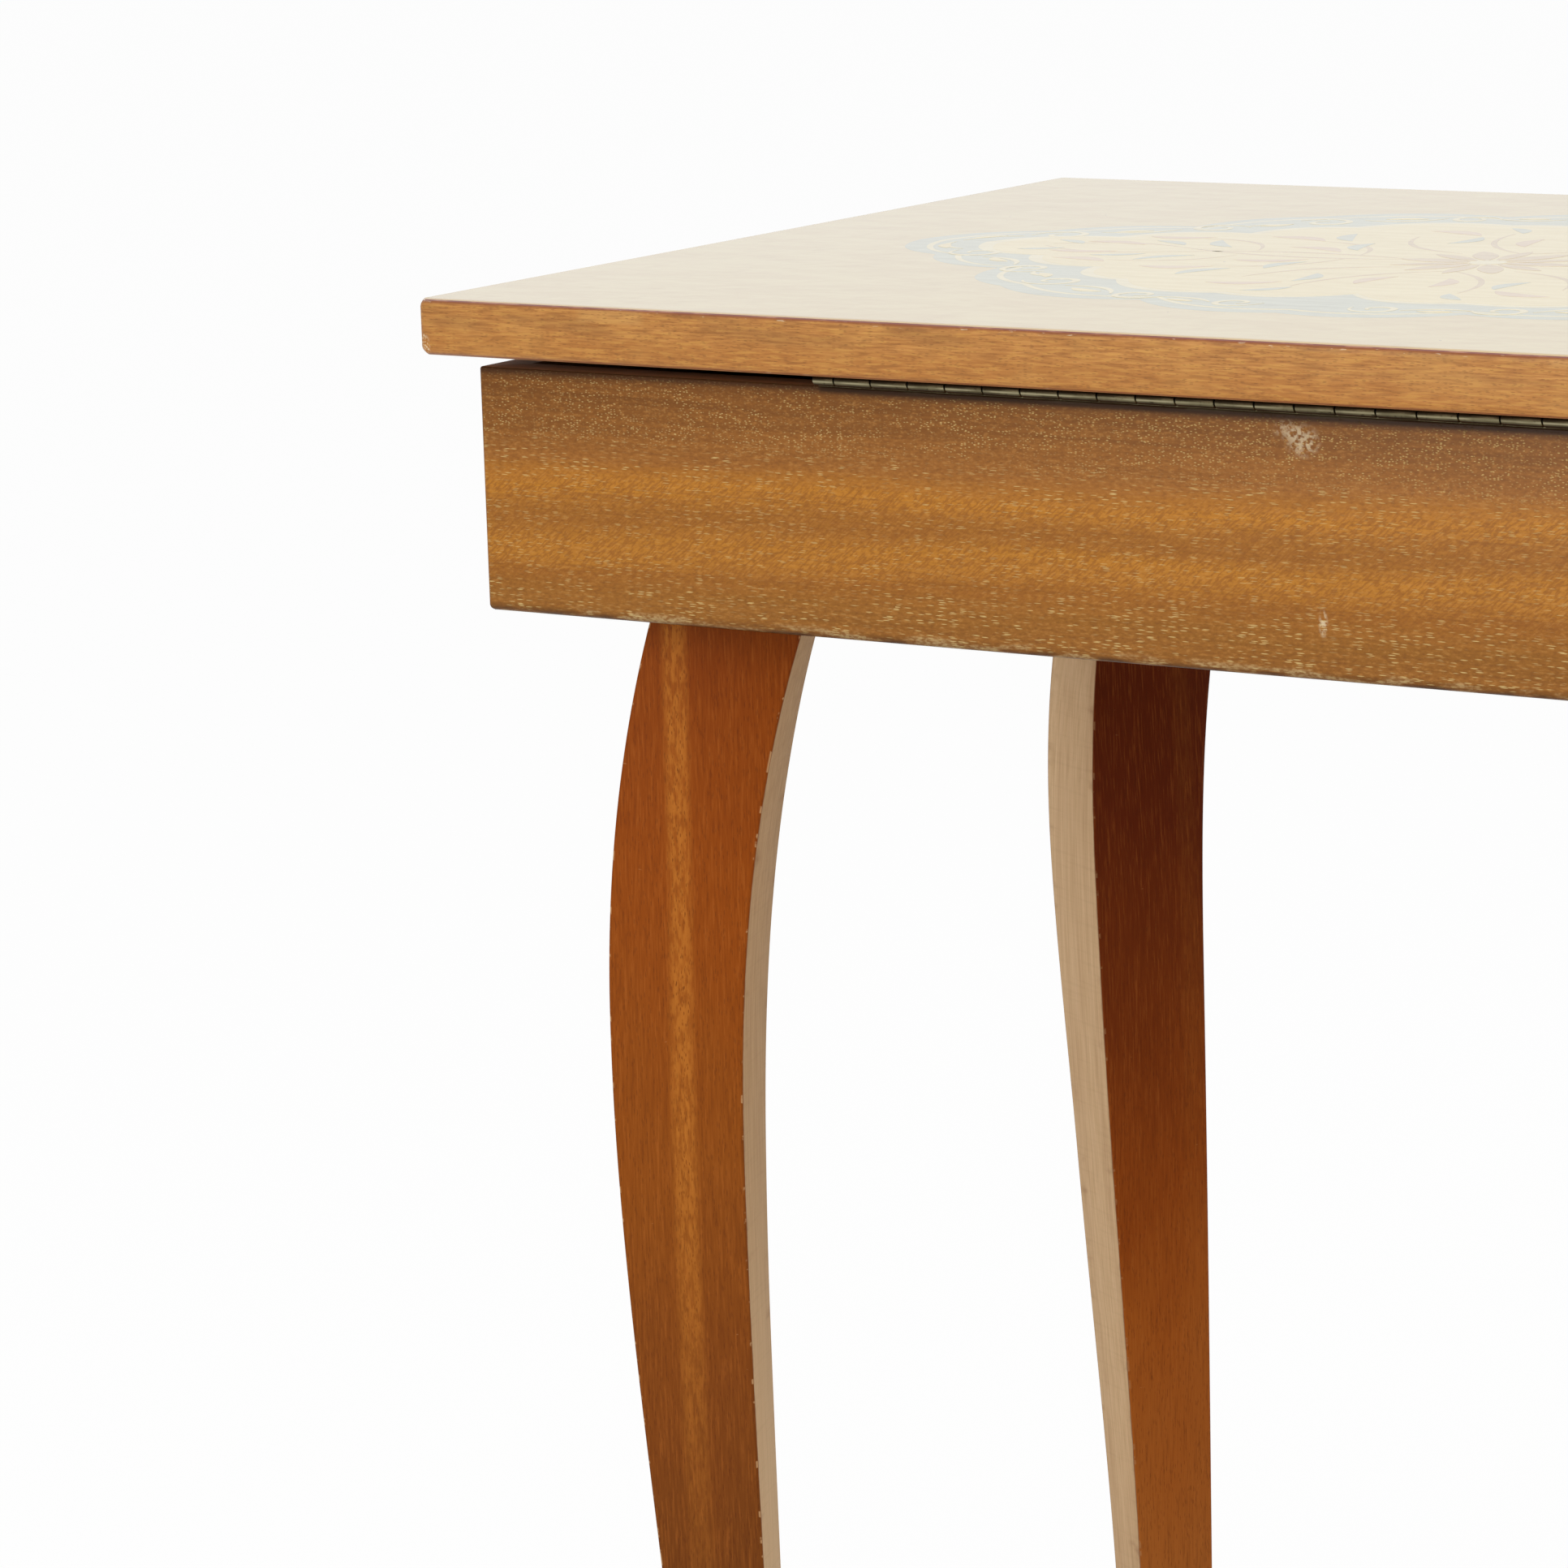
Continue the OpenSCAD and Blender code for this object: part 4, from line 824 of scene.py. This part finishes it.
def bow(x0, y0, x1, y1, rise, width, steps=16):
    """A strip bent between two points."""
    return ribbon([(x0 + t * (x1 - x0) + 4 * t * (1 - t) * rise * (y1 - y0),
                    y0 + t * (y1 - y0) - 4 * t * (1 - t) * rise * (x1 - x0))
                   for t in (i / steps for i in range(steps + 1))], width)


def mirrored(outlines):
    """The outlines with their mirror images across the middle lines."""
    every = []
    for sx, sy in ((1, 1), (-1, 1), (-1, -1), (1, -1)):
        for outline in outlines:
            flipped = [(sx * x, sy * y) for x, y in outline]
            every.append(flipped if sx * sy > 0 else flipped[::-1])
    return every


# Cusps of the first quarter, in mm from the lid's middle
surround = [(176, 0), (152, 30), (118, 52), (96, 86), (46, 100), (0, 112)]
field = [(150, 0), (122, 22), (92, 40), (72, 62), (34, 78), (0, 70)]


def medallion(cusps, across, deep, bulge):
    """The whole lobed outline, its cusps moved out or in by two shares."""
    outline = four_ways([(x * across, y * deep) for x, y in cusps])
    return [lobes(outline, [bulge] * len(outline))]


inlay("grey_blue_surround", medallion(surround, 1, 1, 0.16), 1, blue_veneer)
inlay("cream_string", medallion(surround, 0.962, 0.945, 0.16), 2, cream_veneer)
inlay("inner_surround", medallion(surround, 0.951, 0.928, 0.16), 3, blue_veneer)
inlay("cream_outline", medallion(field, 1.03, 1.04, 0.2), 4, cream_veneer)
inlay("yellow_field", medallion(field, 1, 1, 0.2), 5, yellow_veneer)
inlay("border_curls", mirrored([
    curl(143, 22, -20, 9, 430, 2.2), curl(110, 50, 150, 9, -430, 2.2), curl(88, 72, 10, 9, 430, 2.2),
    curl(52, 91, 170, 8, -430, 2), curl(20, 97, 190, 7.5, -430, 1.9), bow(152, 16, 163, 2, -0.2, 2),
    bow(118, 44, 136, 31, 0.18, 2), bow(95, 63, 104, 56, -0.2, 1.8), bow(60, 91, 80, 80, 0.2, 2),
    bow(27, 98, 44, 93, 0.16, 1.8)]), 6, cream_veneer)
inlay("border_leaves", mirrored([
    leaf(128, 35, -38, 11, 3.6, 0.1), leaf(98, 62, -50, 10, 3.4, -0.1), leaf(70, 86, -20, 12, 3.8, 0.1),
    leaf(36, 97, -14, 9, 3.2), leaf(160, 11, -60, 11, 3.6, 0.08)]), 6.5, yellow_veneer)
inlay("stems", mirrored([
    bow(22, 0, 96, 6, 0.1, 1.8), bow(96, 6, 134, 2, -0.16, 1.6), bow(40, 3, 66, 30, -0.2, 1.6),
    bow(72, 6, 100, 26, -0.2, 1.5), bow(0, 20, 24, 62, 0.14, 1.7), bow(16, 16, 46, 48, 0.16, 1.7)]),
    6, tan_veneer)
inlay("rosy_leaves", mirrored([
    leaf(58, 12, 20, 20, 5.4, 0.16), leaf(75, 33, 15, 20, 6, 0.14), leaf(108, 28, -12, 19, 5.4, -0.14),
    leaf(118, 9, 8, 20, 5, 0.12), leaf(40, 58, 20, 20, 5.6, 0.14), leaf(9, 44, 80, 18, 5, -0.14)]),
    7, pink_veneer)
inlay("blue_leaves", mirrored([
    leaf(48, 22, 78, 17, 4.8, -0.16), leaf(62, 41, 66, 18, 5, -0.14), leaf(88, 17, 52, 18, 4.6, -0.14),
    leaf(104, 14, 30, 15, 4, 0.1), leaf(30, 44, 96, 17, 4.6, 0.14), leaf(27, 69, 50, 14, 4.2, 0.12),
    leaf(132, 8, 30, 13, 3.8, 0.1)]), 7.5, blue_veneer)
petals = [(math.pi * k / 6, 7 - k % 2 * 2) for k in range(12)]
inlay("rosette", [leaf(15 * math.cos(a), 15 * math.sin(a), math.degrees(a), 21, petal_width)
                  for a, petal_width in petals], 8, tan_veneer)
heart = [(5 * math.cos(math.pi * k / 12), 5 * math.sin(math.pi * k / 12)) for k in range(24)]
inlay("rosette_heart", [heart], 8.5, cream_veneer)


# ---------- Lid: backing and buffers ----------
# A plain veneer balances the sheet from below, and two rubber buffers let the lid
# down quietly on the front board.
backing, tree, shader, place = finish("backing veneer", Roughness=0.55)
grain = use(tree, grain_group, Place=place, Streak=(0.06, 0.0012, 0.0012))
colour = ramp(tree, grain["Grain"], [(0.3, "8A5A34"), (0.5, "9F6B3E"), (0.7, "AE7B4A")])
feed(tree, shader, Base_Color=colour)
relief(tree, shader, grain["Grain"], 0.3)
backing_levels = [(0, 2.2, 0.2), (0, 1.7, 0.6), (0.12, 1.2, 0.8), (0.3, 0.8, 0.75), (0.6, 0.4, 0.6)]
bm = bmesh.new()
loft(bm, [lid_ring(back * MM, LID_Z + z * MM, worn * MM) for z, back, worn in backing_levels])
backing_sheet = piece("backing_sheet", bm, "lid", [backing, lipping_finish[LID_W]],
                      pick=lambda face: 1 if face.normal.z > -0.9 else 0)
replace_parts(backing_sheet, "lid_backing")

rubber, tree, shader, place = finish("buffer rubber", Roughness=0.75)
dusty = noise(tree, place, (0.002, 0.002, 0.002), 3.0)
feed(tree, shader, Base_Color=tint(tree, dusty, "2A2724", "3C3833"))
dress("lid_buffers", rubber)


# ---------- Hinge ----------
# A continuous brass hinge cut from stock: each leaf is rolled round the pin in alternate
# knuckles, and screwed down. Old lacquer and hand grease have turned it olive brown.
PITCH, GAP = 11 * MM, 0.3 * MM
PIN_Y, PIN_Z, KNUCKLE_R, PIN_R = 150.6 * MM, 437.95 * MM, 1.6 * MM, 0.85 * MM
LEAF_EDGE, LEAF_W, LEAF_T = PIN_Y - KNUCKLE_R, 9 * MM, 0.9 * MM
ROLL, TONGUE_LAP, HEADS_PROUD = 318, 0.1 * MM, 0.08 * MM


def knuckle_shade_and_highlight(tree, place, colour, stain):
    """Painted shadow above and painted shade below the rolled eyes, and a painted highlight along their
    outside.
    """
    up = facing(tree, 2)
    eye = between(tree, axes_of(tree, place)[1], PIN_Y - 0.4 * MM, PIN_Y + 0.4 * MM, 0, 0.88)
    colour = tint(tree, times(tree, eye, between(tree, up, -0.04, 0.1)), colour, stain)
    colour = tint(tree, times(tree, eye, between(tree, up, -0.4, -0.7)), colour, stain)
    band = between(tree, maths(tree, "ABSOLUTE", plus(tree, up, 0.22)), 0.18, 0.05)
    streaky = between(tree, noise(tree, place, (0.012, 0.002, 0.002), 3.0), 0.38, 0.6, 0.15, 0.8)
    return tint(tree, times(tree, band, streaky), colour, "A89F80")


# Shadow above the knuckles, shade below them and a highlight along them are painted on
hinge_brass = aged_metal("olive hinge brass", "6E664C", "544C37", "2A2116", (0.3, 0.42), 0.008,
                         painted_marks=knuckle_shade_and_highlight)
whole = int(HINGE_L / PITCH) - 1
end_knuckle = (HINGE_L - whole * PITCH) / 2
inner_joints = [-HINGE_L / 2 + end_knuckle + k * PITCH for k in range(whole + 1)]
joints = [-HINGE_L / 2] + inner_joints + [HINGE_L / 2]


def eye_ring(x, back, up):
    """Section of a rolled knuckle and its tongue, seen along the pin; up is 1 for the lower leaf."""
    ring = []
    steps = 28
    turns = [math.radians(-90 + ROLL * i / steps) for i in range(steps + 1)]
    for radius, run in ((KNUCKLE_R - back, turns), (PIN_R, turns[::-1])):
        for a in run:
            ring.append((x, PIN_Y + radius * math.cos(a), PIN_Z + up * radius * math.sin(a)))
    root = LEAF_EDGE - TONGUE_LAP
    ring.append((x, root, PIN_Z + up * (-KNUCKLE_R + LEAF_T - back)))
    ring.append((x, root, PIN_Z + up * (-KNUCKLE_R + back)))
    return ring


def leaf_ring(x, back, base, up):
    """Section of the flat leaf; the heads of its screws stand a little proud of it."""
    inner = LEAF_EDGE - LEAF_W + back
    face = base + up * (LEAF_T - back - HEADS_PROUD)
    return [(x, inner, base), (x, LEAF_EDGE, base), (x, LEAF_EDGE, face), (x, inner, face)]


def ends_eased(x0, x1, easing):
    """Places from x0 to x1, each with how far the section is drawn back there, in mm; easing
    holds the same pairs for one end."""
    start = [(x0 + inward * MM, back) for inward, back in easing]
    return start + [(x1 - inward * MM, back) for inward, back in easing[::-1]]


for name, first, up, base, body in (("hinge_leaf_lower", 0, 1, BOX_Z + BOX_H, "table"),
                                    ("hinge_leaf_upper", 1, -1, LID_Z, "lid")):
    bm = bmesh.new()
    for k in range(first, len(joints) - 1, 2):
        x0, x1 = joints[k] + GAP / 2, joints[k + 1] - GAP / 2
        loft(bm, [eye_ring(x, back * MM, up)
                  for x, back in ends_eased(x0, x1, [(0, 0.3), (0.1, 0.12), (0.35, 0)])])
    loft(bm, [leaf_ring(x, back * MM, base, up)
              for x, back in ends_eased(-HINGE_L / 2, HINGE_L / 2, [(0, 0.15), (0.15, 0)])])
    rolled = piece(name.replace("hinge", "rolled"), bm, body, [hinge_brass])
    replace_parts(rolled, name)
dress("hinge_pin", aged_metal("pin steel", "8E8A84", "6A665F", "3A3430", (0.3, 0.5), 0.004))
screw_brass = aged_metal("screw brass", "B89A5A", "8F7440", "4A3A20", (0.3, 0.5), 0.003)
for name in ("hinge_screws_lower", "hinge_screws_upper"):
    dress(name, screw_brass)


# ---------- Legs ----------
# Four cabriole legs, each sawn from one thick board: the broad faces bow gently and are stained
# red brown and lacquered, and the curved edges are left as sawn, bare and pale. Each leg screws
# up into a zinced plate by its hanger bolt.
LEG_LEN, LEG_X, LEG_Y = 372 * MM, 163.5 * MM, 112 * MM
BOLT_HOLE_R, BOLT_HOLE = 4.05 * MM, 40 * MM

# The four sides, each by its keys: drop below the top, how far out, and slope there, in mm
OUTER_KEYS = [(0, 21.25, 0.3), (108, 36, 0), (335, 23, -0.05), (372, 24.5, 0.1)]
INNER_KEYS = [(0, -21.25, 0.36), (150, -0.1, 0), (335, -2, -0.01), (372, 0, 0.1)]
FACE_KEYS = [(0, 6.75, 0.03), (150, 13.75, 0), (372, 8, -0.02)]
BACK_KEYS = [(0, -13, -0.1), (50, -16.5, 0), (200, -8.25, 0.01), (372, -6.5, 0)]


def out_at(keys, drop):
    """How far a side of the leg stands out at a drop below its top, both in mm."""
    for (h0, s0, m0), (h1, s1, m1) in zip(keys, keys[1:]):
        if drop <= h1:
            break
    h = h1 - h0
    t = (drop - h0) / h
    return (s0 * (2 * t ** 3 - 3 * t * t + 1) + m0 * h * (t ** 3 - 2 * t * t + t)
            + s1 * (3 * t * t - 2 * t ** 3) + m1 * h * (t ** 3 - t * t))


def leg_ring(drop, back=0.0, arris=0.9, steps=3):
    """Section of a leg, drawn back all round and rounded at its arrises, all in mm."""
    inner, outer = out_at(INNER_KEYS, drop), out_at(OUTER_KEYS, drop)
    rear, face = out_at(BACK_KEYS, drop), out_at(FACE_KEYS, drop)
    low_s, high_s = inner + back + arris, outer - back - arris
    low_y, high_y = rear + back + arris, face - back - arris
    corners = ((high_s, low_y), (high_s, high_y), (low_s, high_y), (low_s, low_y))
    z = LEG_LEN - drop * MM
    ring = []
    for i, (cx, cy) in enumerate(corners):
        for k in range(steps + 1):
            a = math.radians(-90 + 90 * i + 90 * k / steps)
            ring.append(((cx + arris * math.cos(a)) * MM, (cy + arris * math.sin(a)) * MM, z))
    return ring


def stained_face(name, down, stripe_at, stripe_share, torn_share):
    """Stained broad face. down is its colours by height, stain and painted shade together, stripe_at
    and stripe_share the place and strength of a run of open-pored wood, and torn_share how bare
    its chipped arrises are."""
    wood, tree, shader, place = finish(name, Roughness=0.4, Specular_IOR_Level=0.035)
    axes = axes_of(tree, place)

    # The stain's tones down the leg, darker at the top partly with painted shade under the box, and the
    # grain under it
    drift = noise(tree, place, (0.03, 0.03, 0.08), 3.0)
    height = plus(tree, axes[2], swing(tree, drift, 0.12))
    colour = ramp(tree, maths(tree, "DIVIDE", height, LEG_LEN), down)
    grain = use(tree, grain_group, Place=place, Streak=(0.0005, 0.001, 0.01))
    colour = tint(tree, between(tree, grain["Grain"], 0.48, 0.72, 0, 0.24), colour, "B0662A")
    colour = tint(tree, between(tree, grain["Grain"], 0.5, 0.3, 0, 0.26), colour, "4E200C")

    # A wandering run of open-pored wood
    wander = swing(tree, noise(tree, place, (0.03, 0.03, 0.12), 1.0), 0.003)
    off_stripe = maths(tree, "SUBTRACT", plus(tree, axes[0], wander), stripe_at)
    off_stripe = maths(tree, "ABSOLUTE", off_stripe)
    stripe = between(tree, off_stripe, 4.6 * MM, 1.6 * MM, 0, stripe_share)
    stripe = times(tree, stripe, between(tree, axes[2], 0.1, 0.24, 0.25, 1.0))
    ragged = between(tree, noise(tree, place, (0.001, 0.002, 0.004), 4.0), 0.36, 0.62, 0.35, 1.0)
    stripe = times(tree, stripe, ragged)
    colour = tint(tree, stripe, colour, "B8722B")
    flecks = use(tree, pore_group, Place=place, Dash=(0.00045, 0.0005, 0.0016), Amount=0.55)["Pores"]
    flecks = times(tree, flecks, times(tree, stripe, 1.5))
    colour = tint(tree, flecks, colour, "70370F")

    # Faint pores, small knocks, and arrises chipped through the stain
    faint = use(tree, pore_group, Place=place, Dash=(0.0004, 0.0004, 0.0026), Amount=0.4)["Pores"]
    colour = tint(tree, times(tree, faint, 0.35), colour, "4C220E")
    marks = between(tree, noise(tree, place, (0.004, 0.004, 0.0012), 2.0), 0.77, 0.8, 0, 0.35)
    colour = tint(tree, marks, colour, "B98555")
    arris = between(tree, maths(tree, "ABSOLUTE", facing(tree, 1)), 0.97, 0.8)
    torn = between(tree, noise(tree, place, (0.006, 0.006, 0.0035), 3.0), 0.58, 0.63, 0, torn_share)
    colour = tint(tree, times(tree, arris, torn), colour, "B98F62")
    feed(tree, shader, Base_Color=colour, Roughness=between(tree, drift, 0.3, 0.7, 0.36, 0.5))
    relief(tree, shader, grain["Grain"], 0.14)
    return wood


def sawn_edge(name, pale, mid, grey, foot=0.0):
    """Bare edge with the saw's marks, three tones of it; foot is how pale its foot has stayed."""
    wood, tree, shader, place = finish(name, Roughness=0.75, Specular_IOR_Level=0.25)
    grain = use(tree, grain_group, Place=place, Streak=(0.0012, 0.0007, 0.03))
    colour = ramp(tree, grain["Grain"], [(0.3, grey), (0.5, mid), (0.7, pale)])
    line = between(tree, noise(tree, place, (0.02, 0.003, 0.1), 2.0), 0.4, 0.64, 0, 0.25)
    colour = tint(tree, line, colour, "B58E68")

    # A paler foot, the saw's marks, and stain crept round the arris
    height = axes_of(tree, place)[2]
    colour = tint(tree, between(tree, height, 0.26, 0.1, 0, foot), colour, "E2C49B")
    teeth = noise(tree, place, (0.03, 0.03, 0.0012), 2.0)
    colour = tint(tree, between(tree, teeth, 0.5, 0.7, 0, 0.07), colour, "8C6A48")
    turned_away = maths(tree, "ABSOLUTE", facing(tree, 1))
    ragged = times(tree, noise(tree, place, (0.01, 0.01, 0.006), 4.0), 0.5)
    creep = between(tree, plus(tree, turned_away, ragged), 0.38, 0.62, 0, 0.8)
    colour = tint(tree, creep, colour, "7A4520")
    feed(tree, shader, Base_Color=colour)
    relief(tree, shader, teeth, 0.3)
    return wood


# Tones by height: stain, with painted shade under the box near the top; the front legs' ramp is darker,
# partly a shaded copy of the stain
brown_stain_and_shade = [(0.0, "633614"), (0.25, "6C3A14"), (0.4, "743D14"), (0.6, "814413"), (0.8, "85400E"),
               (1.0, "77350C")]
red_stain_and_shade = [(0.1, "A25C24"), (0.3, "9A5018"), (0.42, "8B4210"), (0.61, "73320C"), (0.75, "60240A"),
             (0.9, "561F08")]
back_leg = (stained_face("red brown stain and shade", brown_stain_and_shade, 16 * MM, 0.55, 0.85),
            sawn_edge("bare sawn edge", "C9A67E", "BD9A70", "AE8A62", 0.45))
# The front legs' edges are a paler copy of the same bare wood: painted light where they face the left
# lamp
front_leg = (stained_face("deep red stain and shade", red_stain_and_shade, 4 * MM, 0.08, 0.3),
             sawn_edge("bare sawn edge, painted lit", "D8B78E", "CFAC82", "C29E74"))

# Side, end, turn and finishes of each leg
legs = {"leg_back_a": (1, 1, 20, back_leg), "leg_front_a": (1, -1, 62, front_leg),
        "leg_back_b": (-1, 1, 140, back_leg), "leg_front_b": (-1, -1, -135, front_leg)}


def bore(obj, radius, low, high):
    """Drills a round hole down an object's own Z axis."""
    bm = bmesh.new()
    sides = 32
    turns = [2 * math.pi * k / sides for k in range(sides)]
    loft(bm, [[(radius * math.cos(a), radius * math.sin(a), z) for a in turns] for z in (low, high)])
    bmesh.ops.recalc_face_normals(bm, faces=bm.faces)
    mesh = bpy.data.meshes.new("drill")
    bm.to_mesh(mesh)
    bm.free()
    drill = bpy.data.objects.new("drill", mesh)
    scene.collection.objects.link(drill)
    drill.matrix_world = obj.matrix_world
    cut = obj.modifiers.new("bore", "BOOLEAN")
    cut.object = drill
    cut.solver = "EXACT"
    bpy.context.view_layer.update()
    bored = bpy.data.meshes.new_from_object(obj.evaluated_get(bpy.context.evaluated_depsgraph_get()))
    obj.modifiers.clear()
    obj.data = bored
    bpy.data.objects.remove(drill)


foot_drop = round(LEG_LEN / MM)
drops = [0.35, *range(4, foot_drop, 4), foot_drop - 0.6]
for name, (sx, sy, turn, finishes) in legs.items():
    bm = bmesh.new()
    rings = [leg_ring(0, 0.5)] + [leg_ring(drop) for drop in drops] + [leg_ring(foot_drop, 0.6)]
    loft(bm, rings[::-1])
    sawn = piece("sawn_" + name, bm, "table", finishes,
                 Matrix.Translation((sx * LEG_X, sy * LEG_Y, 0)) @ turned(turn),
                 pick=lambda face: 0 if abs(face.normal.y) > 0.4 else 1)
    bore(sawn, BOLT_HOLE_R, LEG_LEN - BOLT_HOLE, LEG_LEN + 1 * MM)
    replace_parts(sawn, name)
dress("leg_plates", aged_metal("zinced steel", "B4B2AA", "928F86", "6E5A44", (0.32, 0.55), 0.01))
dress("leg_bolts", aged_metal("bolt steel", "A09C94", "7C7870", "54483A", (0.3, 0.5), 0.004))
dress("leg_plate_screws", bright_screws)
